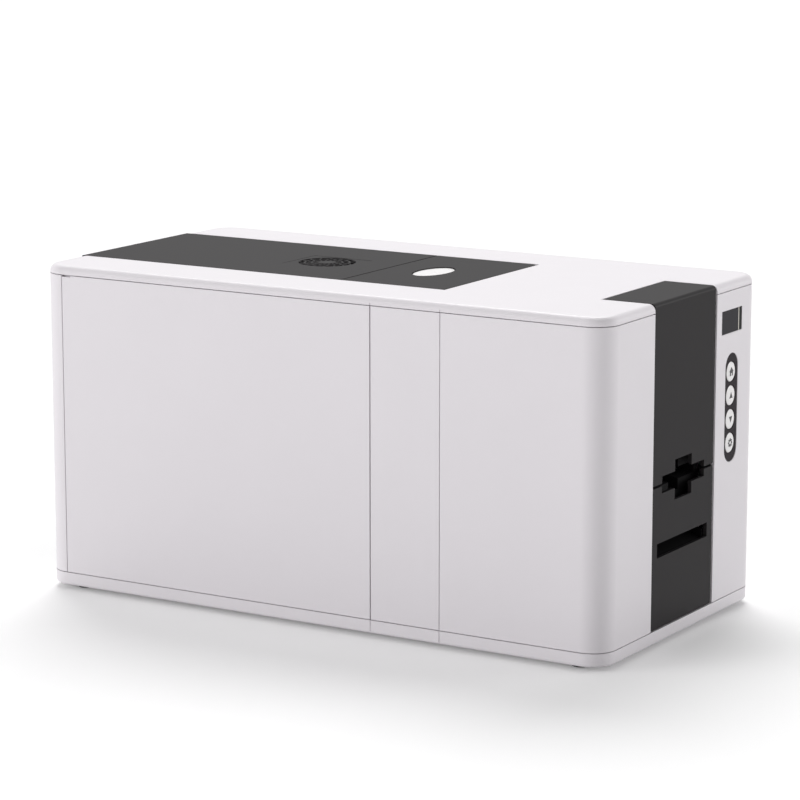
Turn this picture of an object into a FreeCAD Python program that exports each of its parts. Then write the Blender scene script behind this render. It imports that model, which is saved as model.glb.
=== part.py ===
"""Desktop id card printer: a white housing with hinged covers round a card printing mechanism.

The printer stands on its feet at Z = 0, with its centre at X = 0 and Y = 0. Its front end, with
the card slots, display and buttons, faces -Y. The long side with the service door faces -X.
All sizes are millimetres and live in the sheet "Sizes"; every piece is bound to them.
"""
import FreeCAD, Part
import math
import os
from types import SimpleNamespace
import Sketcher

SIZES = {
    # Housing
    "body_width": 208.0,
    "body_length": 410.0,
    "body_height": 210.0,
    "corner_radius": 16.0,
    "wall": 2.5,
    "base_height": 8.4,
    "base_edge_radius": 2.0,
    "rim_height": 5.5,
    "top_edge_radius": 4.5,
    "lip_thickness": 2.0,
    "lip_rise": 4.0,
    "fit_gap": 0.3,
    "panel_gap": 0.5,
    "moving_gap": 0.8,
    "slide_gap": 0.1,
    "pin_radius": 1.5,
    "pin_gap": 0.05,
    "overrun": 1.0,
    "edge_break": 0.8,
    # Feet and screws
    "foot_radius": 6.0,
    "foot_height": 3.0,
    "foot_inset": 14.0,
    "foot_end_inset": 22.0,
    "foot_stem_radius": 2.5,
    "screw_head_radius": 2.8,
    "screw_head_height": 1.4,
    "screw_shank_radius": 1.4,
    "screw_length": 9.0,
    "base_screw_x": 20.0,
    "base_screw_y": 150.0,
    # Long side panels
    "front_panel_length": 112.1,
    "middle_panel_length": 49.1,
    "rear_corner_length": 17.0,
    "underlap": 4.0,
    "groove_width": 0.6,
    "groove_depth": 0.5,
    # Service door
    "door_pin_inset": 3.0,
    "door_pin_setback": 8.0,
    "door_knuckle_height": 9.0,
    "door_pin_bite": 7.0,
    "finger_slit_length": 7.0,
    "finger_slit_height": 0.9,
    "door_rib_depth": 6.0,
    # Side vents
    "vent_slot_width": 2.2,
    "vent_slot_height": 46.0,
    "vent_pitch": 6.0,
    # Black front strip
    "strip_width": 82.0,
    "strip_gap": 1.2,
    "strip_inset": 0.6,
    "cap_length": 35.7,
    "cover_edge_radius": 2.5,
    "cover_seam": 1.6,
    "cover_pin_rise": 4.0,
    "cover_cheek_depth": 10.0,
    "cover_cheek": 2.5,
    "cover_boss": 5.0,
    "cover_boss_width": 3.0,
    # Card slots
    "slot_width": 57.4,
    "slot_height": 10.5,
    "notch_width": 22.6,
    "notch_height": 25.0,
    "lower_slot_width": 68.4,
    "lower_slot_height": 8.9,
    "lower_slot_z": 60.6,
    "guide_depth": 10.0,
    "guide_setback": 4.4,
    "guide_wall": 6.0,
    "guide_slot_height": 8.0,
    "guide_throat": 3.0,
    "guide_notch_width": 13.0,
    "guide_notch_height": 20.0,
    # Display and buttons
    "display_margin": 8.65,
    "display_height": 14.6,
    "display_shift": -1.45,
    "display_drop": 25.1,
    "window_thickness": 1.8,
    "window_flange": 1.5,
    "window_inset": 0.3,
    "bezel_width": 17.6,
    "bezel_height": 69.3,
    "bezel_shift": -0.6,
    "bezel_drop": 80.15,
    "bezel_inset": 0.3,
    "bezel_flange": 1.2,
    "button_radius": 6.4,
    "button_pitch": 15.1,
    "button_gap": 0.25,
    "button_flange": 1.0,
    "button_travel": 0.8,
    "button_stem_radius": 2.0,
    "button_stem_length": 2.6,
    "board_thickness": 1.6,
    "board_margin": 6.0,
    "tact_size": 6.0,
    "tact_height": 1.6,
    # Lids
    "lid_width": 120.0,
    "lid_thickness": 2.5,
    "front_lid_start": 134.8,
    "front_lid_length": 75.6,
    "lid_seam": 1.0,
    "lid_pin_drop": 3.0,
    "lid_pin_setback": 8.0,
    "lid_knuckle_width": 5.0,
    "lid_corner_radius": 5.0,
    "opening_wall": 2.5,
    "opening_drop": 9.5,
    "ledge_width": 3.0,
    "ledge_thickness": 2.0,
    "ledge_bar": 6.0,
    "hinge_clear": 16.0,
    "rear_lip": 5.5,
    "gutter_height": 12.0,
    "gutter_depth": 12.0,
    # Oval push pad
    "pad_length": 39.0,
    "pad_width": 21.0,
    "pad_y": 178.0,
    "pad_gap": 0.4,
    "pad_thickness": 4.0,
    "pad_flange": 1.5,
    "pad_flange_thickness": 1.2,
    # Vent grille and fan
    "grille_width": 38.5,
    "grille_length": 44.0,
    "grille_thickness": 1.3,
    "grille_x": 1.3,
    "grille_y": 257.0,
    "grille_outer_radius": 18.4,
    "grille_ring_pitch": 4.6,
    "grille_slot_width": 3.1,
    "grille_rib": 1.2,
    "grille_swirl": 4.0,
    "grille_hole_radius": 19.2,
    "fan_size": 40.0,
    "fan_depth": 10.0,
    "fan_bore_radius": 18.9,
    "fan_tip_radius": 18.2,
    "fan_hub_radius": 8.5,
    "fan_axle_radius": 1.5,
    "fan_blade": 1.2,
    "fan_strut": 3.0,
    "fan_floor": 1.5,
    # Rear panel sockets
    "socket_z": 40.0,
    "inlet_x": 38.0,
    "inlet_width": 27.4,
    "inlet_height": 20.0,
    "inlet_depth": 22.0,
    "inlet_wall": 2.2,
    "inlet_cavity": 15.0,
    "inlet_prong_length": 8.0,
    "switch_web": 1.2,
    "switch_width": 13.0,
    "switch_height": 19.2,
    "switch_depth": 18.0,
    "rocker_radius": 14.0,
    "usb_x": -16.0,
    "usb_width": 12.0,
    "usb_height": 11.0,
    "usb_depth": 16.0,
    "usb_wall": 1.4,
    "usb_cavity": 9.0,
    "usb_tongue_length": 4.0,
    "network_x": -40.0,
    "network_width": 16.0,
    "network_height": 13.5,
    "network_depth": 18.0,
    "network_wall": 2.0,
    "network_cavity": 12.0,
    "network_key_width": 6.0,
    "network_key_height": 2.0,
    # Frame
    "pan_thickness": 1.5,
    "pan_margin": 9.0,
    "frame_spacing": 68.0,
    "frame_thickness": 2.0,
    "frame_front": 14.5,
    "frame_rear": 22.0,
    "frame_height": 108.0,
    "tower_drop": 36.0,
    "tower_front": 64.0,
    "tower_rear": 70.0,
    "cross_bar_radius": 4.0,
    "cross_bar_z": 30.0,
    "cross_bar_inset": 20.0,
    # Card path and rollers
    "path_drop": 14.2,
    "card_width": 54.0,
    "card_length": 85.6,
    "card_thickness": 0.76,
    "card_gap": 1.0,
    "roller_radius": 6.0,
    "roller_width": 56.0,
    "pick_width": 40.0,
    "shaft_radius": 3.0,
    "shaft_gap": 0.05,
    "pick_spacing": 27.0,
    "clean_spacing": 29.0,
    "platen_spacing": 59.0,
    "flipper_feed_spacing": 63.0,
    "exit_inset": 27.0,
    "pulley_radius": 7.0,
    "pulley_width": 6.0,
    "pulley_rim": 1.0,
    "pulley_offset": 5.0,
    "belt_gap": 0.3,
    "belt_thickness": 1.5,
    # Motors
    "motor_size": 42.0,
    "motor_length": 36.0,
    "motor_room": 17.5,
    "motor_cap": 8.0,
    "motor_corner": 4.0,
    "motor_shaft_radius": 2.5,
    "motor_boss_radius": 11.0,
    "feed_motor_z": 48.0,
    "standoff_length": 12.0,
    "standoff_radius": 2.5,
    "standoff_spacing": 31.0,
    # Magazine
    "magazine_inset": 65.0,
    "magazine_gap": 0.5,
    "magazine_wall": 2.0,
    "magazine_drop": 17.0,
    "magazine_wing_height": 14.0,
    "weight_thickness": 6.0,
    "weight_knob_radius": 8.0,
    "weight_knob_height": 10.0,
    # Print station
    "head_gap": 1.2,
    "head_width": 58.0,
    "head_length": 14.0,
    "head_height": 16.0,
    "head_tip": 5.0,
    "fin_thickness": 1.4,
    "fin_pitch": 4.0,
    "carriage_length": 24.0,
    "carriage_thickness": 3.0,
    "carriage_tab": 8.0,
    "carriage_drop": 21.0,
    "head_lift": 5.0,
    "spool_spread": 38.0,
    "spool_rise": 27.0,
    "spool_flange_radius": 15.0,
    "spool_flange": 1.5,
    "spool_core_radius": 6.0,
    "supply_roll_radius": 13.0,
    "takeup_roll_radius": 7.8,
    "spool_width": 58.0,
    "journal_radius": 3.0,
    "cassette_plate": 1.5,
    "cassette_margin": 18.0,
    "cassette_bar_radius": 2.5,
    "cassette_bar_drop": 12.0,
    # Flipper
    "flipper_inset": 80.0,
    "flipper_radius": 43.0,
    "flipper_width": 62.0,
    "flipper_plate": 2.0,
    "flipper_slot": 1.8,
    "flipper_disc_radius": 20.0,
    "flipper_disc": 2.0,
    "flipper_shaft_radius": 4.0,
    "chute_reach": 45.0,
    "chute_rise": 18.0,
    "chute_drop": 5.6,
    "chute_thickness": 2.0,
    # Boards and supply
    "board_length": 150.0,
    "board_gap": 6.75,
    "board_inset_y": 175.0,
    "board_standoff": 6.0,
    "board_inset": 5.0,
    "chip_size": 14.0,
    "chip_height": 3.0,
    "supply_length": 130.0,
    "supply_height": 38.0,
    "supply_inset": 105.0,
    "supply_gap": 5.5,
}

VENT_ROWS = 2
VENT_SLOTS = 14
GRILLE_RINGS = 3
GRILLE_RIBS = 16
FAN_BLADES = 7
FAN_BLADE_TILT = 35
FIN_COUNT = 9
BUTTONS = ("home_button", "up_button", "down_button", "menu_button")

# The cooling fins' share of the room over the print head
FIN_SHARE = 0.37

# Chips on the main board: places across and along it, and size, as shares
CHIP_SHARES = ((-0.25, -0.3, 1), (0.2, -0.1, 1.4), (-0.1, 0.25, 1))

# Plug headers on the main board: place across it, and places along it, as shares
HEADER_ACROSS_SHARE = 0.35
HEADER_SHARES = (-0.4, 0.05, 0.4)


class Size:
    """A size: its number now, and the sheet expression that gives it."""

    def __init__(self, number, text):
        self.number = float(number)
        self.text = text

    def __add__(self, other):
        other = as_size(other)
        return Size(self.number + other.number, "({} + {})".format(self.text, other.text))

    def __sub__(self, other):
        other = as_size(other)
        return Size(self.number - other.number, "({} - {})".format(self.text, other.text))

    def __mul__(self, other):
        other = as_size(other)
        return Size(self.number * other.number, "{} * {}".format(self.text, other.text))

    def __truediv__(self, other):
        other = as_size(other)
        return Size(self.number / other.number, "{} / {}".format(self.text, other.text))

    def __neg__(self):
        return Size(-self.number, "(0 - {})".format(self.text))

    def __radd__(self, other):
        return as_size(other) + self

    def __rsub__(self, other):
        return as_size(other) - self

    def __rmul__(self, other):
        return as_size(other) * self


def as_size(number):
    """Take a size as it is, and a plain number as a size."""
    if isinstance(number, Size):
        return number
    return Size(number, "({})".format(repr(float(number))))


doc = FreeCAD.newDocument("CardPrinter")
sheet = doc.addObject("Spreadsheet::Sheet", "Sizes")
for row, (word, number) in enumerate(SIZES.items(), start=1):
    sheet.set("A{}".format(row), word)
    sheet.set("B{}".format(row), str(number))
    sheet.setAlias("B{}".format(row), word)
doc.recompute()
s = SimpleNamespace(**{word: Size(number, "Sizes." + word) for word, number in SIZES.items()})

ZERO = as_size(0)
NODES = []
PLANES = {"XY": "XY_Plane", "XZ": "XZ_Plane", "YZ": "YZ_Plane"}
TURNS = {
    "X": FreeCAD.Rotation(FreeCAD.Vector(0, 1, 0), 90),
    "Y": FreeCAD.Rotation(FreeCAD.Vector(1, 0, 0), -90),
    "Z": FreeCAD.Rotation(),
}


def bind(item, **sizes):
    """Bind properties to sizes; a double underscore stands for a dot."""
    for name, size in sizes.items():
        item.setExpression(name.replace("__", "."), as_size(size).text)


def place(item, x, y, z):
    """Bind where a piece stands."""
    bind(item, Placement__Base__x=x, Placement__Base__y=y, Placement__Base__z=z)


def box(label, x, y, z):
    """A block between the low and high bounds given for each direction."""
    item = doc.addObject("Part::Box", label)
    bind(item, Length=x[1] - x[0], Width=y[1] - y[0], Height=z[1] - z[0])
    place(item, x[0], y[0], z[0])
    return item


def rod(label, axis, start, radius, length):
    """A round bar from its start point along an axis."""
    item = doc.addObject("Part::Cylinder", label)
    item.Placement = FreeCAD.Placement(FreeCAD.Vector(), TURNS[axis])
    bind(item, Radius=radius, Height=length)
    place(item, *start)
    return item


def group(items, label):
    """One shape from several: themselves if there is only one."""
    if len(items) == 1:
        return items[0]
    item = doc.addObject("Part::MultiFuse", label)
    item.Shapes = items
    return item


def fuse(label, *items):
    """Pieces moulded as one."""
    item = doc.addObject("Part::MultiFuse", label)
    item.Shapes = list(items)
    item.Refine = True
    return item


def cut(label, base, *tools):
    """A piece with the tools' shapes taken away."""
    item = doc.addObject("Part::Cut", label)
    item.Base = base
    item.Tool = group(list(tools), label + "_tools")
    return item


def common(label, first, second):
    """What two shapes share."""
    item = doc.addObject("Part::Common", label)
    item.Base = first
    item.Tool = second
    return item


def rectangle(across, up, radius=None):
    """The corners of an upright rectangle, rounded where a radius is given."""
    corners = [(across[0], up[0]), (across[1], up[0]), (across[1], up[1]), (across[0], up[1])]
    if radius is None:
        return corners
    return [corner + (radius,) for corner in corners]


def spot(sketch, geometry, position, across, up):
    """Fix one sketch point by its distances from the origin."""
    for kind, size in (("DistanceX", as_size(across)), ("DistanceY", as_size(up))):
        index = sketch.addConstraint(
            Sketcher.Constraint(kind, -1, 1, geometry, position, size.number))
        sketch.setExpression("Constraints[{}]".format(index), size.text)


def fix_radius(sketch, geometry, radius):
    """Fix the radius of an arc or circle."""
    index = sketch.addConstraint(Sketcher.Constraint("Radius", geometry, radius.number))
    sketch.setExpression("Constraints[{}]".format(index), radius.text)


def flat(across, up):
    """A point of a sketch at the sizes' present numbers."""
    return FreeCAD.Vector(as_size(across).number, as_size(up).number, 0)


def step(start, end):
    """The unit step between two points of a sketch."""
    return (flat(*end[:2]) - flat(*start[:2])).normalize()


def draw_circle(sketch, circle):
    """A round hole or disc, given as centre across, centre up and radius."""
    across, up, radius = circle
    centre = flat(across, up)
    index = sketch.addGeometry(
        Part.Circle(centre, FreeCAD.Vector(0, 0, 1), as_size(radius).number), False)
    if centre.Length == 0:
        sketch.addConstraint(Sketcher.Constraint("Coincident", index, 3, -1, 1))
    else:
        spot(sketch, index, 3, across, up)
    fix_radius(sketch, index, as_size(radius))


def draw_outline(sketch, corners):
    """A closed outline; a corner with a third number is rounded by that radius."""
    runs = []
    for index, corner in enumerate(corners):
        across, up = as_size(corner[0]), as_size(corner[1])
        if len(corner) == 2:
            runs.append(((across, up), None, None, (across, up)))
            continue
        radius = as_size(corner[2])
        inward = step(corners[index - 1], corner)
        outward = step(corner, corners[(index + 1) % len(corners)])
        start = (across - radius * round(inward.x), up - radius * round(inward.y))
        end = (across + radius * round(outward.x), up + radius * round(outward.y))
        runs.append((start, (inward, outward), radius, end))
    drawn = []
    for index, (start, turn, radius, end) in enumerate(runs):
        if turn is not None:
            drawn.append(draw_arc(sketch, start, end, turn, radius))
        following = runs[(index + 1) % len(runs)]
        line = Part.LineSegment(flat(*end), flat(*following[0]))
        drawn.append((sketch.addGeometry(line, False), 1, 2, end))
    for index, (geometry, _, last, _) in enumerate(drawn):
        ahead = drawn[(index + 1) % len(drawn)]
        sketch.addConstraint(
            Sketcher.Constraint("Coincident", geometry, last, ahead[0], ahead[1]))
    for geometry, first, _, point in drawn:
        spot(sketch, geometry, first, *point)


def draw_arc(sketch, start, end, turn, radius):
    """A rounded corner; its ends swap where the outline turns the other way."""
    inward, outward = turn
    bend = (inward.x * outward.y - inward.y * outward.x) > 0
    middle = flat(*start) + outward * radius.number
    first, last = (start, end) if bend else (end, start)
    half = (flat(*first) - middle + flat(*last) - middle).normalize() * radius.number
    arc = Part.Arc(flat(*first), middle + half, flat(*last))
    index = sketch.addGeometry(arc, False)
    fix_radius(sketch, index, radius)
    return (index, 1, 2, start) if bend else (index, 2, 1, start)


def add_sketch(body, plane, level, shapes):
    """A sketch on a plane of its body, at a level along that plane's axis."""
    sketch = body.newObject("Sketcher::SketchObject", body.Name + "_sketch")
    support = [part for part in body.Origin.OriginFeatures if part.Role == PLANES[plane]]
    sketch.AttachmentSupport = [(support[0], "")]
    sketch.MapMode = "FlatFace"
    offset = -level if plane == "XZ" else level
    bind(sketch, AttachmentOffset__Base__z=offset)
    for shape in shapes:
        if isinstance(shape, tuple):
            draw_circle(sketch, shape)
        else:
            draw_outline(sketch, shape)
    return sketch


def pad(label, plane, shapes, span, body=None):
    """Shapes drawn on a plane, made solid over a span of the axis across that plane."""
    if body is None:
        body = doc.addObject("PartDesign::Body", label)
    low, high = as_size(span[0]), as_size(span[1])
    level = high if plane == "XZ" else low
    feature = body.newObject("PartDesign::Pad", label + "_pad")
    feature.Profile = add_sketch(body, plane, level, shapes)
    bind(feature, Length=high - low)
    body.Tip = feature
    return body


def pocket(body, plane, shapes, span):
    """Shapes drawn on a plane, cut away over a span of the axis across that plane."""
    low, high = as_size(span[0]), as_size(span[1])
    level = low if plane == "XZ" else high
    feature = body.newObject("PartDesign::Pocket", body.Name + "_pocket")
    feature.Profile = add_sketch(body, plane, level, shapes)
    bind(feature, Length=high - low)
    body.Tip = feature
    return body


def round_edges(body, radius, wanted):
    """Round the edges of a body that a test picks."""
    doc.recompute()
    names = ["Edge{}".format(index)
             for index, edge in enumerate(body.Tip.Shape.Edges, start=1) if wanted(edge.BoundBox)]
    feature = body.newObject("PartDesign::Fillet", body.Name + "_fillet")
    feature.Base = (feature.BaseFeature or body.Tip, names)
    bind(feature, Radius=radius)
    body.Tip = feature
    return body


def at_height(height):
    """A test for flat edges at one height."""
    def test(bounds):
        return bounds.ZLength < 1e-6 and abs(bounds.ZMin - height.number) < 1e-6
    return test


def node(item, name):
    """Name a finished piece; its name is its file's name."""
    item.Label = name
    NODES.append(item)
    return item


# Places that many pieces share
half_width = s.body_width / 2
half_length = s.body_length / 2
front = -half_length
rear = half_length
base_z = s.foot_height
base_top = base_z + s.base_height
top = s.foot_height + s.body_height
rim_z = top - s.rim_height
panel_low = base_top + s.panel_gap
panel_high = rim_z - s.panel_gap
inner_front = front + s.wall
inner_rear = rear - s.wall
inner_side = half_width - s.wall
lip_offset = s.wall + s.fit_gap
lip_inner = lip_offset + s.lip_thickness
floor_z = base_z + s.wall
seam_a = front + s.front_panel_length
seam_b = seam_a + s.middle_panel_length
seam_c = rear - s.rear_corner_length
strip_half = s.strip_width / 2
notch_half = strip_half + s.strip_gap
lid_half = s.lid_width / 2
lid_edge = lid_half - s.moving_gap
lid_under = top - s.lid_thickness
opening_front = front + s.front_lid_start
lid_seam_y = opening_front + s.front_lid_length
frame_inner = s.frame_spacing / 2
frame_outer = frame_inner + s.frame_thickness
pan_z = floor_z + s.pan_thickness
cover_face = front + s.strip_inset
cover_inner = cover_face + s.wall
path_z = pan_z + s.frame_height - s.path_drop
cover_low = path_z + s.cover_seam / 2
lower_high = path_z - s.cover_seam / 2
cover_pin_y = cover_face + s.lid_pin_drop
cover_pin_z = cover_low + s.cover_pin_rise
door_pin_x = -(half_width - s.door_pin_inset)
door_pin_y = seam_b + s.panel_gap / 2 + s.door_pin_setback
lid_pin_z = top - s.lid_pin_drop
front_lid_pin_y = lid_seam_y - s.lid_seam / 2 - s.lid_pin_setback
rear_lid_pin_y = rear - s.lid_pin_setback
column_low = notch_half
column_high = half_width - s.corner_radius
display_x = (column_low + column_high) / 2 + s.display_shift
display_width = column_high - column_low - 2 * s.display_margin
display_z = top - s.display_drop
bezel_x = (column_low + column_high) / 2 + s.bezel_shift
bezel_z = top - s.bezel_drop
button_top_z = bezel_z + s.button_pitch * (len(BUTTONS) - 1) / 2
exit_y = front + s.exit_inset
flipper_y = front + s.flipper_inset
flipper_feed_y = flipper_y + s.flipper_feed_spacing
magazine_y = rear - s.magazine_inset
pick_y = magazine_y - s.pick_spacing
clean_y = pick_y - s.clean_spacing
platen_y = clean_y - s.platen_spacing
roller_z = path_z - s.roller_radius
clean_z = path_z + s.card_gap + s.roller_radius
flipper_z = path_z + s.card_thickness / 2
shoulder_z = pan_z + s.frame_height
tower_z = top - s.tower_drop
carriage_tab_z = tower_z - s.carriage_drop
chute_top_y = front + s.chute_reach
chute_bottom_z = s.lower_slot_z - s.chute_drop
chute_top_z = chute_bottom_z + s.chute_rise
main_board_width = inner_side - frame_outer - 2 * s.board_gap
main_board_y = rear - s.board_inset_y
supply_y = rear - s.supply_inset


def housing_outline(offset):
    """The housing's rounded plan, drawn in by an offset."""
    side = half_width - offset
    end = half_length - offset
    return rectangle((-side, side), (-end, end), s.corner_radius - offset)


def seam_grooves(label, z):
    """Fine grooves that carry the panel seams across a band of the housing."""
    tools = []
    for index, seam in enumerate((seam_a, seam_b)):
        y = (seam - s.groove_width / 2, seam + s.groove_width / 2)
        for side, x in (("left", (-half_width - s.overrun, -half_width + s.groove_depth)),
                        ("right", (half_width - s.groove_depth, half_width + s.overrun))):
            tools.append(box("{}_{}_{}".format(label, side, index), x, y, z))
    return tools


def door_lip_gap(label, z):
    """Room in a lip for the door's hinge edge, which swings inward."""
    return box(label, (-half_width + s.wall, -half_width + lip_inner + s.overrun),
               (seam_b - s.lip_thickness, door_pin_y + s.door_pin_setback), z)


def foot_places():
    """The four corners where the printer stands."""
    x = half_width - s.foot_inset
    y = half_length - s.foot_end_inset
    return [(-x, -y), (x, -y), (x, y), (-x, y)]


def base_screw_places():
    """The four screws through the base into the pan."""
    return [(across * s.base_screw_x, along * s.base_screw_y)
            for across in (-1, 1) for along in (-1, 1)]


def make_base_tray():
    """The white tray that closes the housing from below."""
    body = pad("base_shell", "XY", [housing_outline(ZERO)], (base_z, base_top))
    pad("base_lip", "XY", [housing_outline(lip_offset)], (base_top, base_top + s.lip_rise), body)
    pocket(body, "XY", [housing_outline(lip_inner)], (floor_z, base_top + s.lip_rise + s.overrun))
    round_edges(body, s.base_edge_radius, at_height(base_z))
    tools = seam_grooves("base_groove", (base_z, base_top + s.overrun))
    tools.append(door_lip_gap("base_door_gap", (base_top, base_top + s.lip_rise + s.overrun)))
    tools.append(rod("base_door_pin_hole", "Z", (door_pin_x, door_pin_y, base_top - s.door_pin_bite),
                     s.pin_radius, s.door_pin_bite + s.overrun))
    tools.append(box("base_front_gap", (-notch_half, notch_half), (front + s.wall, inner_front + lip_inner),
                     (base_top, base_top + s.lip_rise + s.overrun)))
    for index, (x, y) in enumerate(foot_places()):
        tools.append(rod("foot_hole_{}".format(index), "Z", (x, y, base_z - s.overrun),
                         s.foot_stem_radius + s.slide_gap, s.wall + 2 * s.overrun))
    for index, (x, y) in enumerate(base_screw_places()):
        tools.append(rod("base_screw_hole_{}".format(index), "Z", (x, y, base_z - s.overrun),
                         s.screw_shank_radius + s.slide_gap, s.wall + 2 * s.overrun))
        tools.append(rod("base_screw_sink_{}".format(index), "Z", (x, y, base_z - s.overrun),
                         s.screw_head_radius + s.slide_gap, s.screw_head_height + s.overrun))
    node(cut("base_tray_cut", body, *tools), "base_tray")


def make_feet():
    """Four rubber feet, each a pad with a stem through the base."""
    feet = []
    for index, (x, y) in enumerate(foot_places()):
        disc = rod("foot_pad_{}".format(index), "Z", (x, y, ZERO), s.foot_radius, s.foot_height)
        stem = rod("foot_stem_{}".format(index), "Z", (x, y, ZERO), s.foot_stem_radius,
                   s.foot_height + s.wall)
        feet.append(fuse("foot_{}".format(index), disc, stem))
    node(group(feet, "feet"), "rubber_feet")


def make_screws():
    """The screws of the base and of the rear panel."""
    screws = []
    for index, (x, y) in enumerate(base_screw_places()):
        head = rod("base_screw_head_{}".format(index), "Z", (x, y, base_z), s.screw_head_radius,
                   s.screw_head_height)
        shank = rod("base_screw_shank_{}".format(index), "Z", (x, y, base_z), s.screw_shank_radius,
                    s.screw_length)
        screws.append(fuse("base_screw_{}".format(index), head, shank))
    for index, (x, z) in enumerate(rear_screw_places()):
        head = rod("rear_screw_head_{}".format(index), "Y", (x, rear - s.screw_head_height, z),
                   s.screw_head_radius, s.screw_head_height)
        shank = rod("rear_screw_shank_{}".format(index), "Y", (x, rear - s.screw_length, z),
                    s.screw_shank_radius, s.screw_length)
        screws.append(fuse("rear_screw_{}".format(index), head, shank))
    node(group(screws, "screws"), "case_screws")


def rear_screw_places():
    """The four screws at the rear panel's corners."""
    x = lid_half - 3 * s.screw_head_radius
    low = base_top + 4 * s.screw_head_radius
    high = top - s.gutter_height - 3 * s.screw_head_radius
    return [(-x, low), (x, low), (x, high), (-x, high)]


def make_top_cover():
    """The white top with the opening for both lids and the notch for the front cap."""
    body = pad("top_shell", "XY", [housing_outline(ZERO)], (rim_z, top))
    round_edges(body, s.top_edge_radius, at_height(top))
    lip_low = rim_z - s.lip_rise
    pad("top_lip", "XY", [housing_outline(lip_offset)], (lip_low, rim_z), body)
    pocket(body, "XY", [housing_outline(lip_inner)], (lip_low - s.overrun, lid_under))
    wall_z = (top - s.opening_drop, lid_under)
    wall_out = lid_half + s.opening_wall
    frame = pad("opening_frame", "XY",
                [rectangle((-wall_out, wall_out), (opening_front - s.opening_wall, inner_rear))], wall_z)
    shell = fuse("top_with_frame", body, frame)
    tools = [
        box("lid_opening", (-lid_half, lid_half), (opening_front, rear + s.overrun),
            (lip_low - s.overrun, top + s.overrun)),
        box("cap_notch", (-notch_half, notch_half),
            (front - s.overrun, front + s.cap_length + s.moving_gap),
            (lip_low - s.overrun, top + s.overrun)),
        door_lip_gap("top_door_gap", (lip_low - s.overrun, rim_z)),
        rod("top_door_pin_hole", "Z", (door_pin_x, door_pin_y, rim_z - s.overrun), s.pin_radius,
            s.lid_pin_drop + s.overrun),
    ]
    tools += seam_grooves("top_groove", (rim_z - s.overrun, top - s.top_edge_radius + s.fit_gap))
    for name, y in (("front", front_lid_pin_y), ("rear", rear_lid_pin_y)):
        tools.append(rod(name + "_lid_pin_hole", "X", (-wall_out - s.overrun, y, lid_pin_z), s.pin_radius,
                         2 * (wall_out + s.overrun)))
    opened = cut("top_opened", shell, *tools)
    ledge_high = lid_under - s.fit_gap
    ledge_z = (ledge_high - s.ledge_thickness, ledge_high)
    ledges = [
        box("front_ledge", (-wall_out, wall_out), (opening_front - s.opening_wall,
                                                   opening_front + s.ledge_width), ledge_z),
        box("seam_ledge", (-wall_out, wall_out), (lid_seam_y + s.lid_seam,
                                                  lid_seam_y + s.lid_seam + s.ledge_bar),
            (ledge_high - 2 * s.ledge_thickness, ledge_high)),
    ]
    for side in (-1, 1):
        outer = side * wall_out
        inner = side * (lid_half - s.ledge_width)
        x = (outer, inner) if side < 0 else (inner, outer)
        word = "left" if side < 0 else "right"
        ledges.append(box(word + "_front_ledge", x, (opening_front, front_lid_pin_y - s.hinge_clear / 2),
                          ledge_z))
        ledges.append(box(word + "_rear_ledge", x, (lid_seam_y + s.lid_seam,
                                                    rear_lid_pin_y - s.hinge_clear / 2), ledge_z))
    node(fuse("top_cover_whole", opened, *ledges), "top_cover")


def skin(label, x, y):
    """One stretch of the housing's white skin, cut from the shared ring."""
    room = box(label + "_room", x, y, (base_z, top))
    return common(label, skin_ring, room)


def make_skin_ring():
    """The ring that all upright white panels are cut from."""
    outer = pad("skin_outer", "XY", [housing_outline(ZERO)], (panel_low, panel_high))
    inner = pad("skin_inner", "XY", [housing_outline(s.wall)],
                (panel_low - s.overrun, panel_high + s.overrun))
    return cut("skin_ring", outer, inner)


def mirrored(side, low, high):
    """Bounds across the printer on its left (-1) or right (1) side."""
    return (-high, -low) if side < 0 else (low, high)


def underlap_strip(label, side, seam, toward):
    """A strip inside a panel that closes the seam to its neighbour from behind."""
    x = mirrored(side, half_width - lip_inner, half_width - lip_offset - s.fit_gap)
    root = mirrored(side, half_width - lip_inner, inner_side)
    z = (base_top + s.lip_rise + s.overrun, rim_z - s.lip_rise - s.overrun)
    tongue = (seam - s.underlap, seam + s.underlap)
    if toward > 0:
        heel = (seam - s.underlap, seam - s.underlap / 2)
    else:
        heel = (seam + s.underlap / 2, seam + s.underlap)
    return [box(label + "_tongue", x, tongue, z), box(label + "_heel", root, heel, z)]


def cover_pin_boss(label, side):
    """The boss behind a front panel that carries the front cover's hinge pin."""
    x = mirrored(side, notch_half, notch_half + s.cover_boss_width)
    boss = box(label, x, (inner_front - s.fit_gap, cover_pin_y + s.cover_boss),
               (cover_pin_z - s.cover_boss, cover_pin_z + s.cover_boss))
    hole = rod(label + "_hole", "X", (x[0] - s.overrun, cover_pin_y, cover_pin_z), s.pin_radius,
               s.cover_boss_width + 2 * s.overrun)
    return boss, hole


def make_front_panels():
    """The two white panels that wrap the front corners beside the black strip."""
    half_gap = s.panel_gap / 2
    for side, word in ((-1, "left"), (1, "right")):
        x = mirrored(side, notch_half, half_width + s.overrun)
        shell = skin("front_{}_skin".format(word), x, (front - s.overrun, seam_a - half_gap))
        boss, hole = cover_pin_boss("front_{}_boss".format(word), side)
        strips = underlap_strip("front_{}_underlap".format(word), side, seam_a, 1)
        whole = fuse("front_{}_whole".format(word), shell, boss, *strips)
        tools = [hole]
        if side > 0:
            tools += display_and_bezel_cuts()
        node(cut("front_{}_cut".format(word), whole, *tools), "front_{}_panel".format(word))


def around(middle, width, extra=ZERO):
    """Bounds centred on a place."""
    return (middle - width / 2 - extra, middle + width / 2 + extra)


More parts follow.
